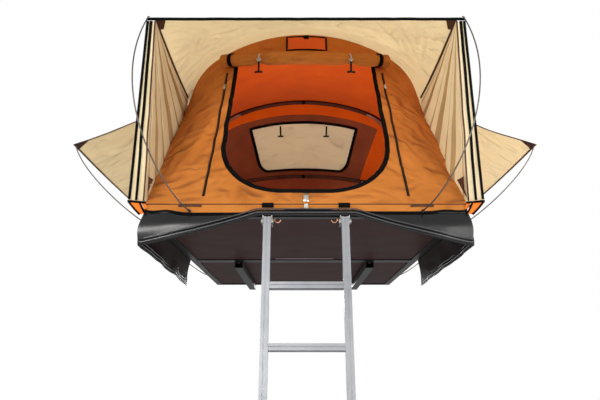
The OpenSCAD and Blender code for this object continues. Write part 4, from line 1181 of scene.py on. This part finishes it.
# %% Zips
zip_low, zip_high = (5.8, 0.04), (5.16, 0.83)
for side, word in both_sides:
    low_end, high_end = ((middle + side * k, s) for k, s in (zip_low, zip_high))
    path = [wall_cloth(*between(low_end, high_end, t), 0.004) for t in shares(40)]
    out = outward(front_wall, *low_end)
    tape = swept("tape", path, out, band_profile(0.011, 0.003), web_black)
    teeth = swept("teeth", [p + out * 0.002 for p in path], out, band_profile(0.005, 0.003), zip_teeth)
    fits(joined(f"door_zip_{word}_sewn", [tape, teeth]), "front_base", "trim_black", f"door_zip_{word}")

    low, high = (Vector(v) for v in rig.box(f"zip_slider_{word}"))
    spot, along = (low + high) / 2, (path[24] - path[20]).normalized()
    shoe = swept("shoe", [spot + along * a for a in (-0.013, -0.009, 0.0, 0.01, 0.014)], out,
                 [(a * 1.1, b) for a, b in band_profile(0.010, 0.006)], slider_metal)
    arch = ((0.009, 0.002), (0.006, 0.006), (-0.004, 0.006), (-0.008, 0.002))
    bridge = swept("bridge", [spot + along * a + out * b for a, b in arch], Vector((1, 0, 0)),
                   band_profile(0.003, 0.004), slider_metal)
    pull = swept("pull", [spot + along * a + out * 0.0065 for a in (0.002, -0.008, -0.022, -0.034)], out,
                 band_profile(0.007, 0.0014), slider_metal)
    slider = joined(f"zip_slider_{word}_made", [shoe, bridge, pull])
    fits(slider, f"zip_{word}", "steel", f"zip_slider_{word}")

# %% [markdown]
# ## Tabs and edges of the hem
# Under the door the hem carries two black hook-and-loop tabs and a small metal buckle on a pull strap.
# Brown tape marks its seam and the slots of the porch rods, and its wavy lower edge is bound in black.

# %% Hem tabs
face_y = front_y - 0.0055
tab_x, tab_z, rod_x = 0.166, 0.092, 0.504
hem_k = (left_corner + 0.05, right_corner - 0.05)
buckle = [(middle, s) for s in (0.008, 0.02, 0.034, 0.046)]
tabs = []
for x in (-tab_x, tab_x):
    tab = [Vector((x + a, face_y, tab_z)) for a in (-0.025, -0.008, 0.008, 0.025)]
    tabs.append(swept("tab", tab, forward, band_profile(0.021, 0.003), web_black))
tabs.append(taped("pull", front_wall, buckle, on_front(0.004), band_profile(0.024, 0.003), slider_metal))
tabs.append(swept("pull_strap", [Vector((0, face_y, z)) for z in (0.076, 0.088, 0.098)], forward,
                  band_profile(0.018, 0.0025), cord_pale))
for x in (-rod_x, rod_x):
    slot_line = [Vector((x + a, face_y, 0.091 - 0.05 * abs(a))) for a in (-0.05, -0.02, 0.0, 0.02, 0.05)]
    tabs.append(swept("rod_slot", slot_line, forward, band_profile(0.009, 0.002), piping_brown))
seam_line = [front_edge(k, hem_top - 0.001) + forward * 0.0022 for k in frange(*hem_k, 72)]
tabs.append(swept("hem_seam", seam_line, forward, band_profile(0.004, 0.0016), piping_brown))
flap_line = [hem_cloth(k, 0) + Vector((0, -0.001, -0.003)) for k in frange(*hem_k, 144)]
tabs.append(swept("hem_edge", flap_line, forward, band_profile(0.011, 0.004), web_black))
fits(joined("hem_tabs", tabs), "front_base", "trim_black", "sill_tabs")

# %% [markdown]
# ## The fly sheet
# A pale fly lies over the roof with an air gap, and runs forward as a porch to a pole in front of the
# base. It is one curved sheet in use, but it parts at the fold in the CAD model, so each half is its own
# piece here. It sags a little between what carries it.

# %% Fly over the roof
fly_out = 0.017
fly_k = frange(left_corner, right_corner, 36)
fly_front, fly_rear, fly_low = (cloth_over(bow, fly_out) for bow in bows)


def fly_fold(k, half):
    return cut_at(fly_front(k), fly_rear(k), seam_y[half])


def sag(depth, t):
    return depth * 4 * t * (1 - t)


def lowered(p, drop):
    return p - Vector((0, 0, drop))


def fly_rows(line_a, line_b, steps, depth):
    def point(k, t):
        return lowered(mix(line_a(k), line_b(k), t), sag(depth, t))

    return grid_of(point, fly_k, shares(steps))


front_part = fly_rows(fly_front, lambda k: fly_fold(k, "front"), 10, 0.003)
sheet("fly_front_sewn", [front_part], fly_cloth, 2.0, "stretched", ["front_bow"],
      ("front_base", "fly", "fly_roof_front"))
rear_part = fly_rows(lambda k: fly_fold(k, "rear"), fly_rear, 6, 0.003)
low_part = fly_rows(fly_rear, fly_low, 10, 0.004)
sheet("fly_rear_sewn", [rear_part, low_part], fly_cloth, 2.0, "stretched", ["rear_bow", "low_rear_bow"],
      ("rear_base", "fly", "fly_roof_rear"))

# %% [markdown]
# ## The porch
# The porch sheet goes from the pole back to the front bow. Its side edges, bound in a dark tape, run to
# the shoulders, where the side walls start, and brown patches strengthen its corners. Creases fan out
# from the shoulders, where the sheet is pulled hardest. The pole sits in a black sleeve along the front
# edge.

# %% Porch roof
pole_y, pole_z, pole_half, porch_band = -2.043, 0.906, 0.705, 0.036
shoulders = fly_front(left_corner), fly_front(right_corner)


def porch_point(u, s, below=0.0):
    """u from 0 to 1 across the porch, s from 0 at the pole to 1 at the bow."""
    on_pole = Vector(((pole_half - porch_band) * mix(-1, 1, u), pole_y, pole_z + 0.0064))
    p = mix(on_pole, fly_front(mix(left_corner, right_corner, u)), s)
    crease = ripple((p.x * 1.6, p.y * 6, 0), 0.010, 1.5, 5)
    crease += (fan_fold(p, shoulders[0], 0.024, 16, 2) + fan_fold(p, shoulders[1], 0.032, 18, 7)) * (1 - s)
    slanted = Vector((4 * p.x + 3 * p.y, 6 * p.y - 2 * p.x, 4))
    crease += 0.012 * (0.3 - abs(noise.noise(slanted))) * (0.6 + 0.6 * u)
    crease *= min(1, min(u, 1 - u) / 0.07)
    return lowered(p, sag(0.014, s) - math.sin(math.pi * s) * crease + below)


sheet("porch_sewn", [grid_of(porch_point, shares(130), shares(56))], fly_cloth, 2.0,
      "stretched", ["porch_pole", "front_bow"], ("front_base", "fly", "fly_porch"))

# %% [markdown]
# The trim follows the sheet's own rule, so tape and patches lie on the cloth. The pole's sleeve is a
# little uneven, as sewn webbing is, and the steel ends of the pole show beyond it.

# %% Porch trim and pole
trims = []
for side in (0, 1):
    edge = [porch_point(side, s) for s in frange(0.01, 0.99, 24)]
    trims.append(swept("edge_tape", edge, downward, band_profile(0.010, 0.005), piping_brown))
    patch = [[porch_point(abs(side - a * mix(0.036, 0.016, b)), 0.1 * b + 0.004, 0.0026)
              for a in shares(4)] for b in shares(4)]
    trims.append(sewn("corner_patch", [patch], piping_brown)[0])
fits(joined("porch_trim", trims), "front_base", "fly")

pole_path = [Vector((x, pole_y, pole_z)) for x in frange(-pole_half, pole_half, 40)]
sleeve_path = [p + upward * ripple(p, 0.0012, 20, 1) for p in pole_path]
pole_parts = [swept("pole_sleeve", sleeve_path, upward, round_profile(0.0066, 14), web_black)]
for side in (-1, 1):
    end = [Vector((side * x, pole_y, pole_z)) for x in (pole_half - 0.012, pole_half)]
    pole_parts.append(swept("pole_end", end, upward, round_profile(0.006, 12), rod_steel))
fits(joined("porch_pole_sewn", pole_parts), "front_base", "pole_black", "porch_pole")

# %% [markdown]
# ## The pleated porch sides
# Each side wall is gathered, so its folds fan out from the pole's end to the canvas: broad flat cloth,
# and between it narrow tucks where the spare cloth is pinched to the outside. The pleats are uneven, as
# gathered cloth is. The cloth lies double in a tuck, so less light comes through. The tucks' darker
# lining is partly that and partly painted shade of the folds. The grid has more columns in the tucks than
# on the flats. In front of the folds is a flat band with two black zip tapes.

# %% Shape of the porch sides
pleat_ends = (0, 1.15, 2.75, 3.95, 5.9, 7.2, 8.95, 10.08)
pleats = len(pleat_ends) - 1
front_q = 2 * pleats
edge_part, corner_part = 0.72, 0.28
half_steps = (0.028, 0.055, 0.085, 0.115, 0.15, 0.2, 0.28, 0.38)
tuck_steps = (-0.5, *[-step for step in reversed(half_steps)], 0, *half_steps)
side_columns = [mix(a, b, 0.5 + step) for a, b in zip(pleat_ends, pleat_ends[1:]) for step in tuck_steps]
side_columns += frange(pleat_ends[-1], front_q, 24)

side_tip = Vector((pole_half - 0.002 - porch_band, pole_y + 0.002, pole_z - 0.0075))
side_top = shoulders[1] + Vector((0.0002, -0.0014, -0.0044))
side_corner = front_wall(right_corner, 0) + Vector((0.004, -0.003, 0.004))
side_front = Vector((hem_x + 0.026 + porch_band, front_y - 0.044, hem_top + 0.002))
side_out = (side_top - side_tip).cross(side_corner - side_tip).normalized()
side_out = -side_out if side_out.x < 0 else side_out


def eased(t):
    t = clamped(t)
    return t * t * (3 - 2 * t)


def porch_foot(side, share):
    """Where a fold ends: first down the canvas's edge, then forward over the corner of the base."""
    if share > edge_part:
        return mix(side_corner, side_front, (share - edge_part) / corner_part)
    down_edge = clamped(share / edge_part)
    arris = wall_cloth(right_corner if side > 0 else left_corner, 1 - down_edge)
    beside = Vector((abs(arris.x) + 0.003, arris.y - 0.003, arris.z + 0.004 * down_edge))
    return mix(mix(side_top, side_corner, down_edge), beside, eased(down_edge / 0.12))


def tuck_height(side, q, r, taper):
    turn = min(bisect_right(pleat_ends, q), pleats) - 1
    start, end = pleat_ends[turn:turn + 2]
    off_tuck = (q - start) / (end - start) - 0.5
    size = 0.034 * (1 + 0.7 * noise.noise(Vector((2.3 * turn, 5.3, 1.5 * side + 2 * r))))
    grown = size * math.exp(-(off_tuck / 0.075) ** 2) * eased(r / 0.4) * taper
    return grown * (1 - 0.85 * eased((r - 0.7) / 0.28))


def porch_side_point(side, q, r, lift=0.0, gathered=1.0):
    """q from 0 at the porch roof to 14 at the front edge, r from 0 at the pole to 1 at the bottom."""
    taper = min(1, 1.2 * q, max(0, (10 - q) / 0.8)) * gathered
    share = (q + 0.25 * taper * noise.noise(Vector((0.6 * q, 2.2 * r, 3 + side)))) / front_q
    over = max(0, (share - edge_part) / corner_part)
    p = mix(side_tip + Vector((porch_band * over, 0, 0)), porch_foot(side, share), r * (1 + 0.03 * taper))
    fold = tuck_height(side, q, r, taper)
    fold += ripple(p, 0.004, 9, 4) * math.sin(math.pi * r) * min(1, q, front_q - q) * gathered
    p = lowered(p + side_out * fold + forward * lift, sag(0.018, r) * max(0, 1 - q / 3))
    return Vector((side * p.x, p.y, p.z))


print("porch sides have", pleats, "pleats and", len(side_columns), "columns")

# %% [markdown]
# The tucks are sewn into the same sheet as the flats, with their own darker lining, which is partly painted
# shade. The right side's cloth is paler than the left's, which is painted light. On the left and the right the
# columns are the same, but the noise differs, so the two sides don't mirror each other. A small brown patch
# sits in the lower corner of the folds.

# %% Porch sides
# In each pleat, the columns between which the cloth lies double and takes the darker lining. This is partly
# painted shade: some runs are wider, to paint the shade of broader folds.
tuck_painted_shade_steps = ((5, 13), (3, 13), (5, 13), (2, 13), (5, 14), (3, 13), (5, 13))
cuts = [0] + [len(tuck_steps) * i + n for i, steps in enumerate(tuck_painted_shade_steps) for n in steps]
cuts.append(len(side_columns) - 1)
side_rows = [0.004, 0.015] + frange(0.03, 0.995, 30)
tapes = ((13.75, 0.012, web_black), (12.1, 0.013, web_black), (10.2, 0.007, piping_brown))
for side, word in both_sides:
    grid = grid_of(lambda q, r: porch_side_point(side, q, r), side_columns, side_rows)
    runs = [[row[a:b + 1] for row in grid] for a, b in zip(cuts, cuts[1:])]
    # Each side takes its lit or shaded copy of the cloth, which is painted light, and the tucks take the painted shade
    # lining.
    sheet(f"porch_side_{word}_sewn", runs, gather_painted_light[word], 1.5, "gathered", ["porch_pole_sewn"],
          ("front_base", "fly", f"porch_side_{word}"), away_from=(0, -1.8, 0.5),
          shaded=range(1, 2 * pleats, 2), lining=tuck_doubled_painted_shade[word])

    parts = []
    for q, width, finish in tapes:
        path = [porch_side_point(side, q, r, 0.0025) for r in frange(0.003, 0.99, 30)]
        parts.append(swept("tape", path, Vector((0, -1, 0.1)), band_profile(width, 0.0035), finish))
    path = [porch_side_point(side, 0.02, r) for r in frange(0.04, 0.98, 24)]
    parts.append(swept("top_tape", path, Vector((side, 0, 0.2)), band_profile(0.008, 0.004), piping_brown))
    patch = [[porch_side_point(side, 10.1 - 1.6 * a * b, mix(0.84, 0.985, b), 0.006, 0)
              for a in shares(8)] for b in frange(0.05, 1, 6)]
    parts.append(sewn("low_patch", [patch], piping_brown)[0])
    fits(joined(f"porch_side_{word}_trim", parts), "front_base", "trim_black")

# %% [markdown]
# ## The side awnings
# On each side the fly runs out from the shoulder to the tips of two spring rods. The sheet hangs in a
# shallow curve between the rods, its edge is bound in brown, and its corners are doubled. It parts at the
# fold.

# %% Awnings
awning_x, awning_z = 1.222, 0.544
awning_y = {"front": -1.393, "rear": 0.131}
awning_span = {"front": (awning_y["front"], seam_y["front"]), "rear": (seam_y["rear"], awning_y["rear"])}
fold_end = {"front": 1.0, "rear": 0.0}


def awning_root(part, c):
    """A point on the edge of the fly's roof, c from 0 at the front of this part to 1 at its rear."""
    seam = fly_fold(right_corner, part)
    bow, low = fly_rear(right_corner), fly_low(right_corner)
    if part == "front":
        return mix(shoulders[1], seam, c)
    bend = (bow - seam).length / ((bow - seam).length + (low - bow).length)
    return mix(seam, bow, c / bend) if c < bend else mix(bow, low, (c - bend) / (1 - bend))


def awning_point(side, part, c, r, below=0.0):
    """r from 0 at the roof to 1 at the outer edge."""
    from_fold = abs(c - fold_end[part])
    outer = Vector((awning_x, mix(*awning_span[part], c), awning_z))
    p = mix(awning_root(part, c) + Vector((0.0004, 0, -0.0006)), outer, r)
    loose = math.sin(math.pi * r)
    bay = abs(p.y - fold_y) / 0.762
    wave = ripple((p.x * 3, p.y * 4, 0), 0.008, 1.4, 8) * loose - 0.02 * r * (1 - bay * bay) * 0.6
    wave += fan_fold(p, (awning_x, awning_y[part], awning_z), 0.018, 9, 5 + side) * loose * from_fold
    p = lowered(p, sag(0.018, r) - wave + below)
    return Vector((side * p.x, p.y, p.z))


def awning(side, word, part, body_name):
    columns, tip_c = shares(26), 1 - fold_end[part]
    grid = grid_of(lambda c, r: awning_point(side, part, c, r), columns, shares(18))
    sheet(f"awning_{word}_{part}_sewn", [grid], fly_cloth, 0.8, "stretched", [f"side_rods_{part}"],
          (body_name, "fly", f"awning_{word}_{part}"), away_from=(0, -0.6, -2))
    outer = [awning_point(side, part, c, 0.995) for c in columns]
    end = [awning_point(side, part, tip_c, r) for r in frange(0.02, 0.995, 18)]
    tape = band_profile(0.012, 0.004)
    parts = [swept("edge_tape", path, upward, tape, piping_brown) for path in (outer, end)]
    for below in (0.0028, -0.0028):
        patch = [[awning_point(side, part, mix(tip_c, 0.5, 0.18 * a * (1 - b)), 1 - 0.12 * b - 0.004, below)
                  for a in shares(6)] for b in shares(6)]
        parts.append(sewn("tip_patch", [patch], piping_brown)[0])
    fits(joined(f"awning_{word}_{part}_trim", parts), body_name, "fly")


for side, word in both_sides:
    for part, body_name in both_halves:
        awning(side, word, part, body_name)

# %% [markdown]
# ## Spring rods
# Thin steel rods plug into sockets on the base, bend outwards and push the fly's corners tight. Each is a
# smooth curve from its socket to its tip, with a small hook that pokes through the eyelet. They come out
# by hand before the tent folds, so here they go flat with the fly.

# %% Rods
rod_radius, socket_z = 0.003, 0.065


def bezier(a, b, c, d):
    return [a * (1 - t) ** 3 + b * 3 * t * (1 - t) ** 2 + c * 3 * t * t * (1 - t) + d * t ** 3
            for t in shares(40)]


def rod_pair(name, socket, start, leave, arrive, tip, hook, across):
    """Two mirrored rods. A rod leaves its socket and arrives at its tip in these directions."""
    socket, start, tip = Vector(socket), Vector(start), Vector(tip)
    path = [socket] + bezier(start, start + Vector(leave), tip + Vector(arrive), tip)
    path += [tip + Vector(step) for step in hook]
    rods = []
    for side in (-1, 1):
        points = [Vector((side * p.x, p.y, p.z)) for p in path]
        rods.append(swept("rod", points, Vector(across), round_profile(rod_radius, 10), rod_steel))
    return joined(name, rods)


front_rods = rod_pair("front_rods_bent", (rod_x, -1.896, socket_z), (rod_x, -1.916, socket_z),
                      (0.06, -0.12, 0.02), (0.13, -0.15, -0.44), (0.700, -2.0525, pole_z),
                      ((-0.001, 0.003, 0.008), (-0.006, 0.008, 0.012)), (1, 0.01, 0))
fits(front_rods, "front_base", "steel", "front_rods")
rod_places = {"front": (-1.493, -1.379), "rear": (0.201, 0.117)}
for part, body_name in both_halves:
    socket_y, tip_y = rod_places[part]
    side_rods = rod_pair(f"side_rods_{part}_bent", (0.703, socket_y, socket_z), (0.723, socket_y, socket_z),
                         (0.09, 0, 0.02), (-0.05, 0, -0.16), (1.214, tip_y, 0.540),
                         ((0.004, 0, 0.008), (0.009, 0, 0.009)), (0.01, 1, 0))
    fits(side_rods, body_name, "steel", f"side_rods_{part}")

# %% [markdown]
# ## Corner straps
# At each front corner the fly is pulled down by an orange webbing loop on a black strap, which goes under
# the base. Each loop is a small sheet between four corners, and black bands run along its edges.

# %% Corner straps
def beside_corner(side, x, y, z):
    return Vector((side * (hem_x + x), front_y + y, z))


def corner_loop(name, side, corners, steps, bulge):
    a, b, c, d = (beside_corner(side, *corner) for corner in corners)
    grid = grid_of(lambda u, v: mix(mix(a, b, u), mix(c, d, u), v) + bulge * math.sin(math.pi * v),
                   shares(4), shares(steps))
    return sewn(name, [grid], web_orange, thick=0.0025, away_from=(0, -1, 0.3))[0]


outer_loop = ((0.020, -0.026, 0.098), (0.058, -0.042, 0.098),
              (-0.004, -0.008, 0.054), (0.014, -0.012, 0.050))
inner_loop = ((-0.004, -0.012, 0.100), (0.012, -0.02, 0.100),
              (-0.012, -0.008, 0.078), (-0.002, -0.008, 0.074))
strap_ends = (((0.016, -0.028, 0.100), (-0.008, -0.011, 0.052)),
              ((0.061, -0.045, 0.100), (0.016, -0.015, 0.048)),
              ((-0.008, -0.016, 0.101), (0.064, -0.046, 0.101)))
straps = []
for side in (-1, 1):
    out = Vector((side * 0.25, -0.9, -0.25)).normalized()
    straps.append(corner_loop("loop", side, outer_loop, 8, out * 0.004))
    straps.append(corner_loop("inner_loop", side, inner_loop, 6, out * 0))
    for ends in strap_ends:
        start, end = (beside_corner(side, *place) for place in ends)
        path = [mix(start, end, t) + out * (0.004 * math.sin(math.pi * t) + 0.002) for t in shares(8)]
        straps.append(swept("strap", path, out, band_profile(0.009, 0.003), web_black))
fits(joined("corner_straps_sewn", straps), "front_base", "orange_panel", "corner_straps")

# %% [markdown]
# ## The travel cover
# The cover is fixed round the edge of the front half and hangs under it as a black skirt: short in the
# middle, where the ladder goes, and long at the corners and sides. Its lower edge carries half of a heavy
# zip. Coated cloth hangs stiffly, in broad soft bends, so the grid is moved by slow ripples only.

# %% Travel cover
cover_top, cover_flare = 0.0572, 0.017
cover_fold_y = -0.661
cover_folding = {"keep": 0.5, "floor_at": 0.045}
ladder_half = 0.212
cover_u = (frange(0, 0.97, 34) + frange(0.985, 1.015, 6) + frange(1.03, 1.97, 70)
           + frange(1.985, 2.015, 6) + frange(2.03, 3, 34))


def cover_line(u, out):
    """u from 0 to 3: left side from the fold, front, right side. Gives x and y."""
    side_x, end_y = half_wide + out, front_y - out
    if u < 1:
        return -side_x, mix(cover_fold_y, end_y, u)
    if u <= 2:
        return mix(-side_x, side_x, u - 1), end_y
    return side_x, mix(end_y, cover_fold_y, u - 2)


def cover_low(x, y):
    """The height of the cover's lower edge."""
    if abs(x) > half_wide:
        return 0.04 - mix(0.118, 0.146, (y - front_y) / (fold_y - front_y))
    t = clamped((abs(x) - ladder_half) / (half_wide - ladder_half))
    soft, power = 0.0005, 0.4
    share = ((t * t + soft) ** power - soft ** power) / ((1 + soft) ** power - soft ** power)
    return mix(0.051, -0.078, share)


def cover_point(u, t, out_more=0.0):
    """t from 0 at the zip to 1 at the edge of the base."""
    low = cover_low(*cover_line(u, cover_flare))
    flare = cover_flare * (1 - max(0, (t - 0.35) / 0.65) ** 1.6) + 0.0015
    loose = (1 - t) * (cover_top - low) / 0.16
    x, y = cover_line(u, flare)
    wave = ripple((x * 4, y * 4, t), 0.012, 1.3, 6) + ripple((x * 9, y * 9, t * 2), 0.003, 1.2, 3)
    x, y = cover_line(u, flare + min(wave * loose, 0.004) + out_more)
    return Vector((x, y, mix(low, cover_top, t)))


sheet("cover_skirt", [grid_of(cover_point, cover_u, shares(12))], cover_skin, 3.9, "hung",
      ["front_edge_frame"], ("front_base", "cover", "cover_band"), cover_folding,
      inside=cover_inside, thick=0.0022, away_from=(0, -1.2, 0))

# %% [markdown]
# The zip is a toothed band under the skirt's lower edge, with three thin beads above it where the tape is
# sewn on. The outer two are glossy and paler than the cover, which is painted highlight besides their real
# gloss. The black one between them is painted shade of a groove. A round lip finishes the upper edge, where
# the cover is held on the base.

# %% Cover zip and lip
line = [cover_point(u, 0) for u in cover_u]
outs = [(cover_point(u, 0, 0.01) - p).normalized() for u, p in zip(cover_u, line)]
zip_line = [p + downward * 0.004 for p in line]
zip_parts = [swept("zip_half", zip_line, outs, band_profile(0.011, 0.006), zip_teeth)]
# The paler outer beads are painted highlight. The black middle bead is painted shade of a groove.
beads = ((0.006, 0.0042, bead_skin), (0.0135, 0.003, web_black), (0.021, 0.003, bead_skin))
for up, radius, finish in beads:
    bead_line = [p + o * 0.001 + upward * up for p, o in zip(line, outs)]
    zip_parts.append(swept("bead", bead_line, outs, round_profile(radius, 10), finish))
lip_line = [cover_point(u, 1) + upward * 0.003 for u in cover_u]
zip_parts.append(swept("lip", lip_line, outs, round_profile(0.005, 8), cover_skin))
cover_zip = joined("cover_zip_sewn", zip_parts)
fits(cover_zip, "front_base", "cover", "cover_zip", **cover_folding)

# %% [markdown]
# ## The mattress
# Foam pads in a woven cover lie on the boards, with channels stitched across them. The crowned shape with
# drawn-in sides is formed directly from one smooth rule, which keeps the channels sharp where a remesh
# would lose them.

# %% Mattress
def full_share(a):
    """1 in the middle of the pad, 0 at its edge."""
    return 1 - abs(2 * a - 1) ** 5


def drawn_in(a, b):
    """How far the pad's side is pulled in, at place a across it and b along it."""
    return math.copysign(0.006 * math.sin(math.pi * b) * abs(2 * a - 1) ** 8, a - 0.5)


def pad_point(low, high, a, b, top):
    x = mix(low.x, high.x, a) - drawn_in(a, b)
    y = mix(low.y, high.y, b) - drawn_in(b, a)
    full = full_share(a) * full_share(b)
    if not top:
        return Vector((x, y, mix(mix(low.z, high.z, 0.35), low.z, min(1, 6 * full))))
    channel = sum(math.exp(-((b - c) / 0.012) ** 2) for c in (0.25, 0.5, 0.75))
    rise = (high.z - low.z) * (0.62 + 0.38 * full ** 0.35) - 0.008 * channel * full ** 0.3
    return Vector((x, y, low.z + rise + ripple((x, y, 0), 0.002, 9, 2) * full - 0.002 * full))


def mattress_pad(name, node_name, body_name):
    low, high = (Vector(v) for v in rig.box(node_name))
    across, along = shares(40), shares(48)
    bm, flat = start_mesh()
    for top in (True, False):
        lay_grid(bm, flat, grid_of(lambda a, b: pad_point(low, high, a, b, top), across, along))
    loop = border(0, 1, 0, 1, 40, 48) + [(0, 0)]
    sides = [[mix(pad_point(low, high, a, b, False), pad_point(low, high, a, b, True), t) for a, b in loop]
             for t in shares(4)]
    lay_grid(bm, flat, sides)
    bmesh.ops.remove_doubles(bm, verts=bm.verts, dist=0.0004)
    bmesh.ops.recalc_face_normals(bm, faces=bm.faces)
    pad = link_mesh(name, bm, [bed_cloth])
    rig.padded(pad, fill=0.85)
    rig.replaces(pad, node_name)
    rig.ride(pad, body_name)
    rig.slot(pad, "mattress")
    print(name, len(pad.data.polygons), "faces")


for part, body_name in both_halves:
    mattress_pad(f"{part}_mattress_pad", f"{part}_mattress", body_name)

# %% [markdown]
# ## Sizes
# Last, the CAD box and the finished model's box are written side by side and printed.

# %% Sizes
final_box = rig.bounds()
json.dump({"cad": [list(map(float, v)) for v in cad_box], "visual": [list(map(float, v)) for v in final_box]},
          open("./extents.json", "w"))
print("size", json.load(open("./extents.json")))
